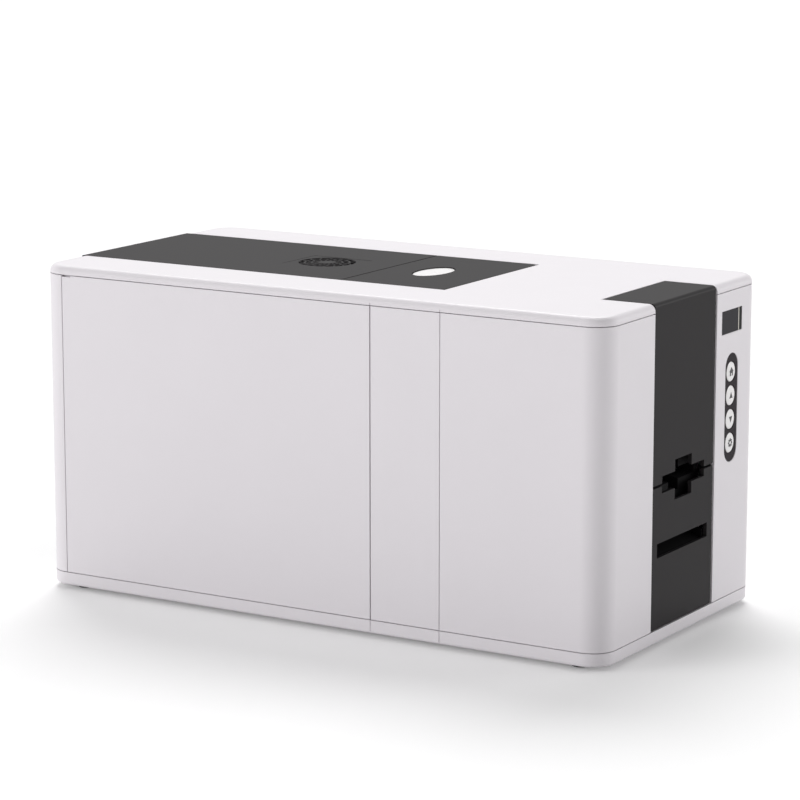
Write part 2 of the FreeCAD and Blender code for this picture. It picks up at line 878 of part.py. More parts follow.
def display_and_bezel_cuts():
    """The window and the pill shaped opening in the front right panel."""
    wall_y = (front - s.overrun, inner_front + s.overrun)
    window = box("window_cut", around(display_x, display_width, s.slide_gap), wall_y,
                 around(display_z, s.display_height, s.slide_gap))
    pill = pad("bezel_cut", "XZ", [pill_outline(s.slide_gap)], wall_y)
    return [window, pill]


def pill_outline(extra):
    """The upright pill round the four buttons, grown by an extra."""
    radius = s.bezel_width / 2 + extra - s.slide_gap / 2
    return rectangle(around(bezel_x, s.bezel_width, extra), around(bezel_z, s.bezel_height, extra),
                     radius)


def make_middle_panels():
    """The narrow fixed panels, left and right, and the long right panel with its vents."""
    lip_room = (base_top + s.lip_rise + s.overrun, rim_z - s.lip_rise - s.overrun)
    half_gap = s.panel_gap / 2
    y = (seam_a + half_gap, seam_b - s.moving_gap / 2)
    left = skin("middle_left_skin", (-half_width - s.overrun, ZERO), y)
    middle_bar = box("middle_left_bar", (-half_width + lip_offset, -half_width + lip_inner + s.wall),
                     (seam_a + s.underlap + s.fit_gap, seam_b - s.door_pin_setback), lip_room)
    heel = box("middle_left_heel", (-half_width + s.wall, -half_width + lip_inner),
               (seam_a + 2 * s.underlap, seam_b - s.door_pin_setback - s.overrun), lip_room)
    node(fuse("middle_left_whole", left, middle_bar, heel), "middle_left_panel")
    right_x = (ZERO, half_width + s.overrun)
    right = skin("middle_right_skin", right_x, (seam_a + half_gap, seam_b - half_gap))
    strips = underlap_strip("middle_right_underlap", 1, seam_b, 1)
    node(fuse("middle_right_whole", right, *strips), "middle_right_panel")
    long_skin = skin("right_side_skin", right_x, (seam_b + half_gap, seam_c - half_gap))
    slot_x = (inner_side - s.overrun, half_width + s.overrun)
    slots = []
    for row in range(VENT_ROWS):
        z = base_top + s.vent_slot_height / 2 + row * (s.vent_slot_height + 2 * s.vent_pitch)
        for index in range(VENT_SLOTS):
            y = seam_b + s.vent_slot_height + index * s.vent_pitch
            slots.append(box("vent_{}_{}".format(row, index), slot_x,
                             (y, y + s.vent_slot_width), (z, z + s.vent_slot_height)))
    node(cut("right_side_cut", long_skin, *slots), "right_side_panel")


def make_rear_corners():
    """The white rear corners; each carries a strip behind the edge in front of it."""
    half_gap = s.panel_gap / 2
    y = (seam_c + half_gap, rear + s.overrun)
    for side, word in ((-1, "left"), (1, "right")):
        x = mirrored(side, lid_half + s.panel_gap, half_width + s.overrun)
        corner = skin("rear_{}_skin".format(word), x, y)
        strips = underlap_strip("rear_{}_underlap".format(word), side, seam_c, -1)
        node(fuse("rear_{}_whole".format(word), corner, *strips), "rear_{}_corner".format(word))


def make_side_door():
    """The long service door; it turns on two upright pins near its front edge."""
    half_gap = s.panel_gap / 2
    door_front = seam_b + s.moving_gap / 2
    shell = skin("door_skin", (-half_width - s.overrun, ZERO), (door_front, seam_c - half_gap))
    knuckle_y = (door_front, door_pin_y + s.door_pin_inset)
    knuckle_x = (-half_width, door_pin_x + s.door_pin_inset)
    ribs = []
    tools = [
        box("finger_slit", (-half_width - s.overrun, -inner_side + s.overrun),
            (seam_c - s.finger_slit_length, seam_c), (panel_high - s.finger_slit_height, top)),
    ]
    for word, low in (("lower", panel_low), ("upper", panel_high - s.door_knuckle_height)):
        high = low + s.door_knuckle_height
        ribs.append(box(word + "_knuckle", knuckle_x, knuckle_y, (low, high)))
        tools.append(rod(word + "_knuckle_hole", "Z", (door_pin_x, door_pin_y, low - s.overrun),
                         s.pin_radius + s.pin_gap, s.door_knuckle_height + 2 * s.overrun))
    rib_x = (-inner_side, -inner_side + s.door_rib_depth)
    rib_low = base_top + s.lip_rise + 2 * s.overrun
    rib_high = rim_z - s.lip_rise - 2 * s.overrun
    rib_y = (door_pin_y + s.door_pin_setback, seam_c - 2 * s.underlap)
    for word, z in (("low", (rib_low, rib_low + s.wall)), ("high", (rib_high - s.wall, rib_high))):
        ribs.append(box("door_rib_" + word, rib_x, rib_y, z))
    node(cut("door_cut", fuse("door_whole", shell, *ribs), *tools), "side_door")


def make_front_upper_cover():
    """The black cover: the cap on top and the strip down to the card slot, hinged at its foot."""
    cap_rear = front + s.cap_length
    body = pad("upper_cover_block", "YZ",
               [[(cover_face, cover_low), (cover_inner, cover_low), (cover_inner, lid_under),
                 (cap_rear, lid_under), (cap_rear, top), (cover_face, top, s.cover_edge_radius)]],
               (-strip_half, strip_half))
    cheeks = []
    for side, word in ((-1, "left"), (1, "right")):
        x = mirrored(side, strip_half - s.cover_cheek, strip_half)
        deep_y = cover_inner + s.cover_cheek_depth
        root_y = cover_inner - s.fit_gap
        cheeks.append(pad(word + "_cheek", "YZ",
                          [[(root_y, cover_low), (deep_y, cover_pin_z), (deep_y, lid_under),
                            (root_y, lid_under)]], x))
    whole = fuse("upper_cover_whole", body, *cheeks)
    tools = card_slot_cuts("upper_cover")
    tools.append(rod("upper_cover_pin_hole", "X", (-strip_half - s.overrun, cover_pin_y, cover_pin_z),
                     s.pin_radius + s.pin_gap, s.strip_width + 2 * s.overrun))
    node(cut("upper_cover_cut", whole, *tools), "front_upper_cover")


def card_slot_cuts(label):
    """The cross shaped card opening: a wide slot and an upright finger notch."""
    y = (cover_face - s.overrun, cover_inner + s.overrun)
    wide = box(label + "_slot", around(ZERO, s.slot_width), y,
               around(path_z, s.slot_height))
    notch = box(label + "_notch", around(ZERO, s.notch_width), y,
                around(path_z, s.notch_height))
    return [wide, notch]


def make_front_lower_panel():
    """The black panel below the card slot, with the lower slot."""
    panel = pad("lower_panel_plate", "YZ",
                [[(cover_face, panel_low), (cover_inner, panel_low), (cover_inner, lower_high),
                  (cover_face, lower_high)]], (-strip_half, strip_half))
    y = (cover_face - s.overrun, cover_inner + s.overrun)
    slot = box("lower_slot_cut", around(ZERO, s.lower_slot_width), y,
               around(s.lower_slot_z, s.lower_slot_height))
    tools = card_slot_cuts("lower_panel") + [slot]
    ribs = []
    ear_y = inner_front + s.fit_gap
    ear_z = (panel_low + s.lip_rise, lower_high - s.cover_boss)
    for side, word in ((-1, "left"), (1, "right")):
        x = mirrored(side, strip_half - s.overrun, notch_half + s.cover_boss_width)
        ribs.append(box("lower_panel_ear_" + word, x, (ear_y, ear_y + s.wall), ear_z))
        root = mirrored(side, strip_half - s.wall, strip_half)
        ribs.append(box("lower_panel_root_" + word, root,
                        (cover_inner - s.fit_gap, inner_front + s.wall), ear_z))
    whole = fuse("lower_panel_whole", panel, *ribs)
    node(cut("lower_panel_cut", whole, *tools), "front_lower_panel")


def make_card_exit_guide():
    """The guide behind the card opening, with a funnel for the card."""
    low_y = cover_inner + s.guide_setback
    high_y = low_y + s.guide_depth
    block = pad("guide_block", "XZ",
                [rectangle((-frame_inner, frame_inner),
                           around(path_z, s.guide_notch_height, s.guide_wall))],
                (low_y, high_y))
    middle = path_z + s.card_thickness / 2
    mouth = s.guide_slot_height / 2
    throat = s.guide_throat / 2
    funnel = pad("guide_funnel", "YZ",
                 [[(low_y - s.overrun, middle - mouth), (high_y + s.overrun, middle - throat),
                   (high_y + s.overrun, middle + throat), (low_y - s.overrun, middle + mouth)]],
                 around(ZERO, s.card_width, s.card_gap))
    notch = box("guide_notch", around(ZERO, s.guide_notch_width), (low_y - s.overrun, high_y + s.overrun),
                around(path_z, s.guide_notch_height))
    node(cut("guide_cut", block, funnel, notch), "card_exit_guide")


def make_display():
    """The display window, flush in the wall, with a flange behind it."""
    face = front + s.window_inset
    pane = box("window_pane", around(display_x, display_width), (face, inner_front + s.fit_gap),
               around(display_z, s.display_height))
    flange = box("window_back", around(display_x, display_width, s.window_flange),
                 (inner_front, inner_front + s.window_thickness),
                 around(display_z, s.display_height, s.window_flange))
    node(fuse("window_whole", pane, flange), "display_window")


def make_bezel_and_buttons():
    """The dark pill with its four round buttons, from top to bottom."""
    face = front + s.bezel_inset
    holes = [(bezel_x, button_top_z - index * s.button_pitch, s.button_radius + s.button_gap)
             for index in range(len(BUTTONS))]
    plate = pad("bezel_plate", "XZ", [pill_outline(ZERO)] + holes, (face, inner_front + s.fit_gap))
    back = pad("bezel_back", "XZ", [pill_outline(s.window_flange)] + holes,
               (inner_front, inner_front + s.bezel_flange))
    node(fuse("bezel_whole", plate, back), "button_bezel")
    flange_y = inner_front + s.bezel_flange + s.fit_gap
    for index, name in enumerate(BUTTONS):
        z = button_top_z - index * s.button_pitch
        face_y = front + s.slide_gap
        cap = rod(name + "_cap", "Y", (bezel_x, face_y, z), s.button_radius, flange_y - face_y)
        flange = rod(name + "_flange", "Y", (bezel_x, flange_y, z),
                     s.button_radius + s.button_flange / 2, s.button_flange)
        stem = rod(name + "_stem", "Y", (bezel_x, flange_y, z), s.button_stem_radius,
                   s.button_stem_length)
        node(fuse(name + "_whole", cap, flange, stem), name)


def make_control_board():
    """The board behind the front wall, with the display module and four key switches."""
    stem_end = inner_front + s.bezel_flange + s.fit_gap + s.button_stem_length
    key_y = stem_end + s.button_travel + s.fit_gap
    board_y = key_y + s.tact_height
    z = (bezel_z - s.bezel_height / 2 - s.board_margin / 2,
         display_z + s.display_height / 2 + s.board_margin / 2)
    board = box("control_card", around(display_x, display_width, s.board_margin / 2),
                (board_y, board_y + s.board_thickness), z)
    screen_front = inner_front + s.window_thickness + s.fit_gap
    screen = box("screen_module", around(display_x, display_width, s.window_flange),
                 (screen_front, board_y), around(display_z, s.display_height, s.window_flange))
    keys = []
    for index in range(len(BUTTONS)):
        z_key = button_top_z - index * s.button_pitch
        keys.append(box("key_{}".format(index), around(bezel_x, s.tact_size), (key_y, board_y),
                        around(z_key, s.tact_size)))
    posts = []
    post_y = inner_front + s.fit_gap
    for index, x in enumerate(around(display_x, display_width)):
        posts.append(rod("board_post_{}".format(index), "Y", (x, post_y, display_z - s.display_height),
                         s.standoff_radius, board_y - post_y))
    node(fuse("control_board_whole", board, screen, *keys, *posts), "control_board")


def lid_knuckles(label, y):
    """The two knuckles under a lid's side edges, and the hole for their pins."""
    parts = []
    for side, word in ((-1, "left"), (1, "right")):
        x = mirrored(side, lid_edge - s.lid_knuckle_width, lid_edge)
        eye = rod("{}_{}_eye".format(label, word), "X", (x[0], y, lid_pin_z), s.lid_pin_drop,
                  s.lid_knuckle_width)
        parts.append(eye)
    hole = rod(label + "_eye_hole", "X", (-lid_edge - s.overrun, y, lid_pin_z), s.pin_radius + s.pin_gap,
               2 * (lid_edge + s.overrun))
    return parts, hole


def ellipse_block(label, length, width, span):
    """An upright oval block centred on the front lid's push pad."""
    disc = doc.addObject("Part::Ellipse", label + "_edge")
    bind(disc, MajorRadius=length / 2, MinorRadius=width / 2)
    block = doc.addObject("Part::Extrusion", label)
    block.Base = disc
    block.DirMode = "Custom"
    block.Dir = FreeCAD.Vector(0, 0, 1)
    block.Solid = True
    bind(block, LengthFwd=span[1] - span[0])
    place(block, ZERO, front + s.pad_y, span[0])
    return block


def make_front_lid():
    """The short black lid with the white oval pad; it turns near the seam between the lids."""
    y = (opening_front + s.moving_gap, lid_seam_y - s.lid_seam / 2)
    plate = pad("front_lid_plate", "XY",
                [[(-lid_edge, y[0], s.lid_corner_radius), (lid_edge, y[0], s.lid_corner_radius),
                  (lid_edge, y[1]), (-lid_edge, y[1])]], (lid_under, top))
    eyes, hole = lid_knuckles("front_lid", front_lid_pin_y)
    opening = ellipse_block("pad_hole", s.pad_length + 2 * s.pad_gap, s.pad_width + 2 * s.pad_gap,
                            (lid_under - s.overrun, top + s.overrun))
    node(cut("front_lid_cut", fuse("front_lid_whole", plate, *eyes), hole, opening), "front_lid")
    cap = ellipse_block("pad_cap", s.pad_length, s.pad_width, (top - s.pad_thickness, top))
    under = lid_under - s.fit_gap
    flange = ellipse_block("pad_flange", s.pad_length + 2 * s.pad_flange,
                           s.pad_width + 2 * s.pad_flange, (under - s.pad_flange_thickness, under))
    node(fuse("pad_whole", cap, flange), "lid_push_pad")


def make_rear_lid():
    """The long black lid with the vent grille; it turns near the rear edge."""
    y_front = lid_seam_y + s.lid_seam / 2
    lip_low = top - s.rear_lip
    body = pad("rear_lid_block", "YZ",
               [[(y_front, lid_under), (inner_rear, lid_under), (inner_rear, lip_low), (rear, lip_low),
                 (rear, top, s.edge_break), (y_front, top)]], (-lid_edge, lid_edge))
    eyes, hole = lid_knuckles("rear_lid", rear_lid_pin_y)
    grille_y = front + s.grille_y
    seat = pad("grille_seat", "XY",
               [rectangle(around(-s.grille_x, s.grille_width, s.slide_gap),
                          around(grille_y, s.grille_length, s.slide_gap))],
               (top - s.grille_thickness - s.slide_gap, top + s.overrun))
    bore = rod("grille_bore", "Z", (-s.grille_x, grille_y, lid_under - s.overrun), s.grille_hole_radius,
               s.lid_thickness + 2 * s.overrun)
    node(cut("rear_lid_cut", fuse("rear_lid_whole", body, *eyes), hole, seat, bore), "rear_lid")
    make_grille(grille_y)


def make_grille(grille_y):
    """The square insert over the fan, with three rings of slots between slanted ribs."""
    low = top - s.grille_thickness
    plate = pad("grille_plate", "XY",
                [rectangle(around(-s.grille_x, s.grille_width), around(grille_y, s.grille_length))],
                (low, top - s.slide_gap))
    rings = []
    for index in range(GRILLE_RINGS):
        outer = s.grille_outer_radius - index * s.grille_ring_pitch
        circles = [(-s.grille_x, grille_y, radius) for radius in (outer, outer - s.grille_slot_width)]
        rings.append(pad("grille_ring_{}".format(index), "XY", circles,
                         (low - s.overrun, top + s.overrun)))
    ribs = []
    for index in range(GRILLE_RIBS):
        rib = doc.addObject("Part::Box", "grille_rib_{}".format(index))
        bind(rib, Length=s.grille_width, Width=s.grille_rib, Height=s.grille_thickness + 2 * s.overrun)
        angle = 360 * index / GRILLE_RIBS
        rib.Placement = FreeCAD.Placement(
            FreeCAD.Vector(), FreeCAD.Rotation(FreeCAD.Vector(0, 0, 1), angle))
        aside = FreeCAD.Vector(math.sin(math.radians(angle)), -math.cos(math.radians(angle)), 0)
        place(rib, -s.grille_x + s.grille_swirl * aside.x, grille_y + s.grille_swirl * aside.y,
              low - s.overrun)
        ribs.append(rib)
    slots = cut("grille_slots", group(rings, "grille_rings"), *ribs)
    node(cut("grille_cut", plate, slots), "vent_grille")


def make_fan():
    """The fan under the grille: a square frame and a rotor with tilted blades."""
    x = -s.grille_x
    y = front + s.grille_y
    high = lid_under
    low = high - s.fan_depth
    square = rectangle(around(x, s.fan_size), around(y, s.fan_size), s.fan_strut)
    frame = pad("fan_body", "XY", [square, (x, y, s.fan_bore_radius)], (low, high))
    struts = [
        box("fan_strut_x", around(x, s.fan_size), around(y, s.fan_strut), (low, low + s.fan_floor)),
        box("fan_strut_y", around(x, s.fan_strut), around(y, s.fan_size), (low, low + s.fan_floor)),
        rod("fan_seat", "Z", (x, y, low), s.fan_hub_radius, s.fan_floor),
        rod("fan_axle", "Z", (x, y, low), s.fan_axle_radius, s.fan_depth - 2 * s.fan_floor),
    ]
    node(fuse("fan_frame_whole", frame, *struts), "fan_frame")
    rotor_low = low + s.fan_floor + s.fit_gap
    rotor_high = high - s.fan_floor
    hub = rod("fan_hub", "Z", (x, y, rotor_low), s.fan_hub_radius, rotor_high - rotor_low)
    sweep = pad("fan_sweep", "XY", [(x, y, s.fan_tip_radius)], (rotor_low, rotor_high))
    blades = []
    for index in range(FAN_BLADES):
        blade = doc.addObject("Part::Box", "fan_blade_{}".format(index))
        bind(blade, Length=s.fan_tip_radius, Width=s.fan_blade, Height=2 * s.fan_depth)
        blade.Placement = FreeCAD.Placement(
            FreeCAD.Vector(),
            FreeCAD.Rotation(FreeCAD.Vector(0, 0, 1), 360 * index / FAN_BLADES)
            * FreeCAD.Rotation(FreeCAD.Vector(1, 0, 0), FAN_BLADE_TILT))
        place(blade, x, y, rotor_low - s.fan_depth / 2)
        blades.append(blade)
    shaped = common("fan_blades", group(blades, "fan_blade_set"), sweep)
    bore = rod("fan_hub_bore", "Z", (x, y, rotor_low - s.overrun), s.fan_axle_radius + s.pin_gap,
               s.fan_depth)
    node(cut("fan_rotor_cut", fuse("fan_rotor_whole", hub, shaped), bore), "fan_rotor")


def make_hinge_pins():
    """All hinge pins: two for the door, two for the front cover, two for each lid."""
    pins = [
        rod("door_pin_low", "Z", (door_pin_x, door_pin_y, base_top - s.door_pin_bite), s.pin_radius,
            s.door_pin_bite + s.panel_gap + s.door_knuckle_height),
        rod("door_pin_high", "Z", (door_pin_x, door_pin_y, panel_high - s.door_knuckle_height),
            s.pin_radius, s.door_knuckle_height + s.panel_gap + s.lid_pin_drop),
    ]
    for side, word in ((-1, "left"), (1, "right")):
        x = mirrored(side, strip_half - s.cover_cheek, notch_half + s.cover_boss_width)
        pins.append(rod("cover_pin_" + word, "X", (x[0], cover_pin_y, cover_pin_z), s.pin_radius,
                        s.cover_cheek + s.strip_gap + s.cover_boss_width))
        x = mirrored(side, lid_edge - s.lid_knuckle_width, lid_half + s.opening_wall)
        for name, y in (("front", front_lid_pin_y), ("rear", rear_lid_pin_y)):
            pins.append(rod("{}_lid_pin_{}".format(name, word), "X", (x[0], y, lid_pin_z), s.pin_radius,
                            s.lid_knuckle_width + s.moving_gap + s.opening_wall))
    node(group(pins, "pins"), "hinge_pins")


def make_rear_panel():
    """The black panel between the rear corners, with the sockets and a gutter for the rear lid."""
    shelf = top - s.gutter_height
    gutter_y = rear - s.gutter_depth
    body = pad("rear_plate", "YZ",
               [[(inner_rear, panel_low), (rear, panel_low), (rear, shelf),
                 (gutter_y + s.wall, shelf), (gutter_y + s.wall, lid_under - s.panel_gap),
                 (gutter_y, lid_under - s.panel_gap), (gutter_y, shelf - s.wall),
                 (inner_rear, shelf - s.wall)]],
               (-lid_half + s.panel_gap, lid_half - s.panel_gap))
    wall_y = (inner_rear - s.overrun, rear + s.overrun)
    tools = []
    for name, x, width, height in socket_places():
        tools.append(box(name + "_cut", around(x, width, s.slide_gap), wall_y,
                         around(s.socket_z, height, s.slide_gap)))
    for index, (x, z) in enumerate(rear_screw_places()):
        tools.append(rod("rear_screw_hole_{}".format(index), "Y", (x, inner_rear - s.overrun, z),
                         s.screw_shank_radius + s.slide_gap, s.wall + 2 * s.overrun))
        tools.append(rod("rear_screw_sink_{}".format(index), "Y", (x, rear - s.screw_head_height, z),
                         s.screw_head_radius + s.slide_gap, s.screw_head_height + s.overrun))
    for side, word in ((-1, "left"), (1, "right")):
        x = mirrored(side, lid_edge - s.lid_knuckle_width - s.moving_gap, lid_half)
        tools.append(box("gutter_relief_" + word, x, (gutter_y - s.overrun, rear_lid_pin_y + s.wall),
                         (shelf + s.wall, top)))
    node(cut("rear_panel_cut", body, *tools), "rear_panel")


def switch_x():
    """The switch stands beside the inlet, in the same moulding."""
    return s.inlet_x - (s.inlet_width + s.switch_width) / 2 - s.switch_web


def socket_places():
    """Name, place across, width and height of each socket in the rear panel."""
    return [
        ("inlet", s.inlet_x, s.inlet_width, s.inlet_height),
        ("switch", switch_x(), s.switch_width, s.switch_height),
        ("usb", s.usb_x, s.usb_width, s.usb_height),
        ("network", s.network_x, s.network_width, s.network_height),
    ]


def socket_shell(label, x, width, height, depth, wall, cavity):
    """A socket body with a flange behind the panel and a hollow open to the rear."""
    body = box(label + "_body", around(x, width), (rear - depth, rear - s.slide_gap),
               around(s.socket_z, height))
    seat = inner_rear - s.slide_gap
    flange = box(label + "_flange", around(x, width, wall), (seat - wall, seat),
                 around(s.socket_z, height, wall))
    hollow = box(label + "_hollow", around(x, width - 2 * wall), (rear - cavity, rear + s.overrun),
                 around(s.socket_z, height - 2 * wall))
    return cut(label + "_shell", fuse(label + "_outer", body, flange), hollow)


def make_sockets():
    """Power inlet, data socket and network socket."""
    inlet = socket_shell("inlet", s.inlet_x, s.inlet_width, s.inlet_height, s.inlet_depth, s.inlet_wall,
                         s.inlet_cavity)
    prongs = []
    pitch = s.inlet_width / 4
    prong_y = (rear - s.inlet_cavity - s.overrun, rear - s.inlet_cavity + s.inlet_prong_length)
    for index in (-1, 0, 1):
        drop = s.inlet_height / 8 if index else -s.inlet_height / 8
        prongs.append(box("prong_{}".format(index + 1),
                          around(s.inlet_x + index * pitch, s.inlet_wall), prong_y,
                          around(s.socket_z - drop, 2 * s.inlet_wall)))
    node(fuse("inlet_whole", inlet, make_switch(), *prongs), "power_inlet")
    usb = socket_shell("usb", s.usb_x, s.usb_width, s.usb_height, s.usb_depth, s.usb_wall, s.usb_cavity)
    tongue = box("usb_tongue", around(s.usb_x, s.usb_width / 2),
                 (rear - s.usb_cavity - s.overrun, rear - s.usb_cavity + s.usb_tongue_length),
                 around(s.socket_z, 2 * s.usb_wall))
    node(fuse("usb_whole", usb, tongue), "usb_socket")
    network = socket_shell("network", s.network_x, s.network_width, s.network_height, s.network_depth,
                           s.network_wall, s.network_cavity)
    hollow_high = s.socket_z + s.network_height / 2 - s.network_wall
    key = box("network_key", around(s.network_x, s.network_key_width),
              (rear - s.network_cavity, rear + s.overrun),
              (hollow_high - s.overrun, hollow_high + s.network_key_height - s.usb_wall / 2))
    node(cut("network_cut", network, key), "network_socket")


def make_switch():
    """The rocker of the power switch, and the holder that it turns in, beside the inlet."""
    x = switch_x()
    wall = s.usb_wall
    holder = box("switch_case", around(x, s.switch_width), (rear - s.switch_depth, rear - s.slide_gap),
                 around(s.socket_z, s.switch_height))
    flange = box("switch_flange", around(x, s.switch_width, wall),
                 (inner_rear - s.slide_gap - wall, inner_rear - s.slide_gap),
                 around(s.socket_z, s.switch_height, wall))
    hollow = box("switch_hollow", around(x, s.switch_width - 2 * wall),
                 (rear - s.switch_depth + wall, rear + s.overrun),
                 around(s.socket_z, s.switch_height - 2 * wall))
    case = cut("switch_cut", fuse("switch_outer", holder, flange), hollow)
    radius = s.switch_height / 2 - wall - s.fit_gap
    axis_y = rear - radius
    start = x - s.switch_width / 2 + wall + s.fit_gap
    barrel = rod("rocker_barrel", "X", (start, axis_y, s.socket_z), radius,
                 s.switch_width - 2 * (wall + s.fit_gap))
    scoop_y = rear + s.rocker_radius - s.fit_gap - s.overrun
    scoop = rod("rocker_scoop", "X", (x - s.switch_width, scoop_y, s.socket_z), s.rocker_radius,
                2 * s.switch_width)
    node(cut("rocker_cut", barrel, scoop), "power_rocker")
    return case


def make_pan():
    """The steel pan on the tray's floor, with the pillars that carry the main board."""
    x = half_width - s.pan_margin
    y = half_length - s.pan_margin
    holes = [(across, along, s.screw_shank_radius + s.slide_gap)
             for across, along in base_screw_places()]
    radius = s.corner_radius - s.pan_margin
    plate = pad("pan_plate", "XY", [rectangle((-x, x), (-y, y), radius)] + holes, (floor_z, pan_z))
    tools = []
    for index, (foot_x, foot_y) in enumerate(foot_places()):
        tools.append(rod("pan_foot_room_{}".format(index), "Z", (foot_x, foot_y, floor_z - s.overrun),
                         s.foot_stem_radius + s.slide_gap, s.pan_thickness + 2 * s.overrun))
    pillars = [rod("board_pillar_{}".format(index), "Z", (across, along, floor_z), s.standoff_radius,
                   s.pan_thickness + s.board_standoff)
               for index, (across, along) in enumerate(board_corners())]
    node(cut("pan_cut", fuse("pan_whole", plate, *pillars), *tools), "chassis_pan")


def board_middle_x():
    """The main board lies between the right frame plate and the right wall."""
    return (frame_outer + inner_side) / 2


def board_corners():
    """The four pillars under the main board."""
    x = main_board_width / 2 - s.board_inset
    y = s.board_length / 2 - s.board_inset
    return [(board_middle_x() + across * x, main_board_y + along * y)
            for across, along in ((-1, -1), (1, -1), (1, 1), (-1, 1))]


def roller_places():
    """Name, place along the card path and height of each driven shaft."""
    return [
        ("pick_roller", pick_y, roller_z, s.pick_width),
        ("feed_roller", clean_y, roller_z, s.roller_width),
        ("platen_roller", platen_y, roller_z, s.roller_width),
        ("flipper_feed_roller", flipper_feed_y, roller_z, s.roller_width),
        ("exit_roller", exit_y, roller_z, s.roller_width),
    ]


def frame_outline():
    """The frame plates' side view: a long low wall with a tower at the print station."""
    y0 = front + s.frame_front
    y1 = rear - s.frame_rear
    tower = (platen_y - s.tower_front, platen_y + s.tower_rear)
    return [(y0, pan_z), (y1, pan_z), (y1, shoulder_z), (tower[1], shoulder_z), (tower[1], tower_z),
            (tower[0], tower_z), (tower[0], shoulder_z), (y0, shoulder_z)]


def make_frame_plates():
    """The two steel plates that carry every shaft; the left one is open for the cassette."""
    spool_z = path_z + s.spool_rise
    motor_hole = (platen_y, s.feed_motor_z, s.motor_boss_radius + s.slide_gap)
    for side, word in ((-1, "left"), (1, "right")):
        holes = [(y, z, s.shaft_radius + s.shaft_gap) for _, y, z, _ in roller_places()]
        holes.append((clean_y, clean_z, s.shaft_radius + s.shaft_gap))
        holes.append((flipper_y, flipper_z, s.flipper_shaft_radius + s.shaft_gap))
        if side > 0:
            holes.append(motor_hole)
            holes.append((platen_y - s.spool_spread, spool_z, s.journal_radius + s.shaft_gap))
        plate = pad(word + "_plate", "YZ", [frame_outline()] + holes,
                    mirrored(side, frame_inner, frame_outer))
        x = mirrored(side, frame_inner - s.overrun, frame_outer + s.overrun)
        tab_y = around(platen_y, s.carriage_tab, s.fit_gap)
        tab_low = carriage_tab_z - s.fit_gap
        tools = [box(word + "_tab_slot", x, tab_y,
                     (tab_low, carriage_tab_z + s.carriage_tab + s.head_lift + s.fit_gap))]
        if side < 0:
            reach = s.spool_spread + s.cassette_margin
            tools.append(box("cassette_door", x, (platen_y - reach, platen_y + reach - s.fit_gap),
                             (path_z + s.card_gap + s.roller_radius, spool_z + s.cassette_margin)))
        node(cut(word + "_plate_cut", plate, *tools), word + "_frame_plate")


def make_cross_bars():
    """Four round bars that hold the frame plates apart."""
    bars = []
    y0 = front + s.frame_front + s.cross_bar_inset
    y1 = rear - s.frame_rear - s.cross_bar_inset
    for index, y in enumerate((y0, flipper_feed_y, clean_y, y1)):
        bars.append(rod("cross_bar_{}".format(index), "X", (-frame_inner, y, s.cross_bar_z),
                        s.cross_bar_radius, s.frame_spacing))
    node(group(bars, "cross_bars"), "frame_cross_bars")


def pulley(label, y, z):
    """A plain pulley with rims, outside the right frame plate."""
    x = frame_outer + s.pulley_offset
    drum = rod(label + "_drum", "X", (x, y, z), s.pulley_radius, s.pulley_width)
    rims = [rod("{}_rim_{}".format(label, index), "X", (start, y, z),
                s.pulley_radius + s.belt_thickness, s.pulley_rim)
            for index, start in enumerate((x - s.pulley_rim, x + s.pulley_width))]
    return [drum] + rims


def make_rollers():
    """The shafts with their rollers and pulleys, all turning together, and the cleaning roller."""
    tail = s.pulley_offset + s.pulley_width + s.pulley_rim
    for name, y, z, width in roller_places():
        shaft = rod(name + "_shaft", "X", (-frame_outer - s.overrun, y, z), s.shaft_radius,
                    2 * (frame_outer + s.overrun) + tail - s.overrun)
        sleeve = rod(name + "_sleeve", "X", (-width / 2, y, z), s.roller_radius, width)
        node(fuse(name + "_whole", shaft, sleeve, *pulley(name, y, z)), name)
    shaft = rod("cleaning_shaft", "X", (-frame_outer - s.overrun, clean_y, clean_z), s.shaft_radius,
                2 * (frame_outer + s.overrun))
    sleeve = rod("cleaning_sleeve", "X", (-s.roller_width / 2, clean_y, clean_z), s.roller_radius,
                 s.roller_width)
    node(fuse("cleaning_whole", shaft, sleeve), "cleaning_roller")


def belt_band(label, radius, x):
    """A taut band round three pulleys of one radius: three straight runs and three arcs."""
    centres = [(exit_y, roller_z), (platen_y, s.feed_motor_z), (pick_y, roller_z)]
    body = doc.addObject("PartDesign::Body", label)
    sketch = add_sketch(body, "YZ", x[0], [])
    size = as_size(radius)
    runs = []
    for index, centre in enumerate(centres):
        ahead = centres[(index + 1) % len(centres)]
        along = step(centre, ahead)
        outward = FreeCAD.Vector(along.y, -along.x, 0) * size.number
        runs.append((flat(*centre) + outward, flat(*ahead) + outward))
    lines = [sketch.addGeometry(Part.LineSegment(start, end), False) for start, end in runs]
    for index, centre in enumerate(centres):
        start = runs[index - 1][1]
        end = runs[index][0]
        middle = flat(*centre)
        crown = middle + ((start - middle) + (end - middle)).normalize() * size.number
        arc = sketch.addGeometry(Part.Arc(start, crown, end), False)
        spot(sketch, arc, 3, *centre)
        fix_radius(sketch, arc, size)
        sketch.addConstraint(Sketcher.Constraint("Tangent", lines[index - 1], 2, arc, 1))
        sketch.addConstraint(Sketcher.Constraint("Tangent", arc, 2, lines[index], 1))
    feature = body.newObject("PartDesign::Pad", label + "_pad")
    feature.Profile = sketch
    bind(feature, Length=x[1] - x[0])
    body.Tip = feature
    return body


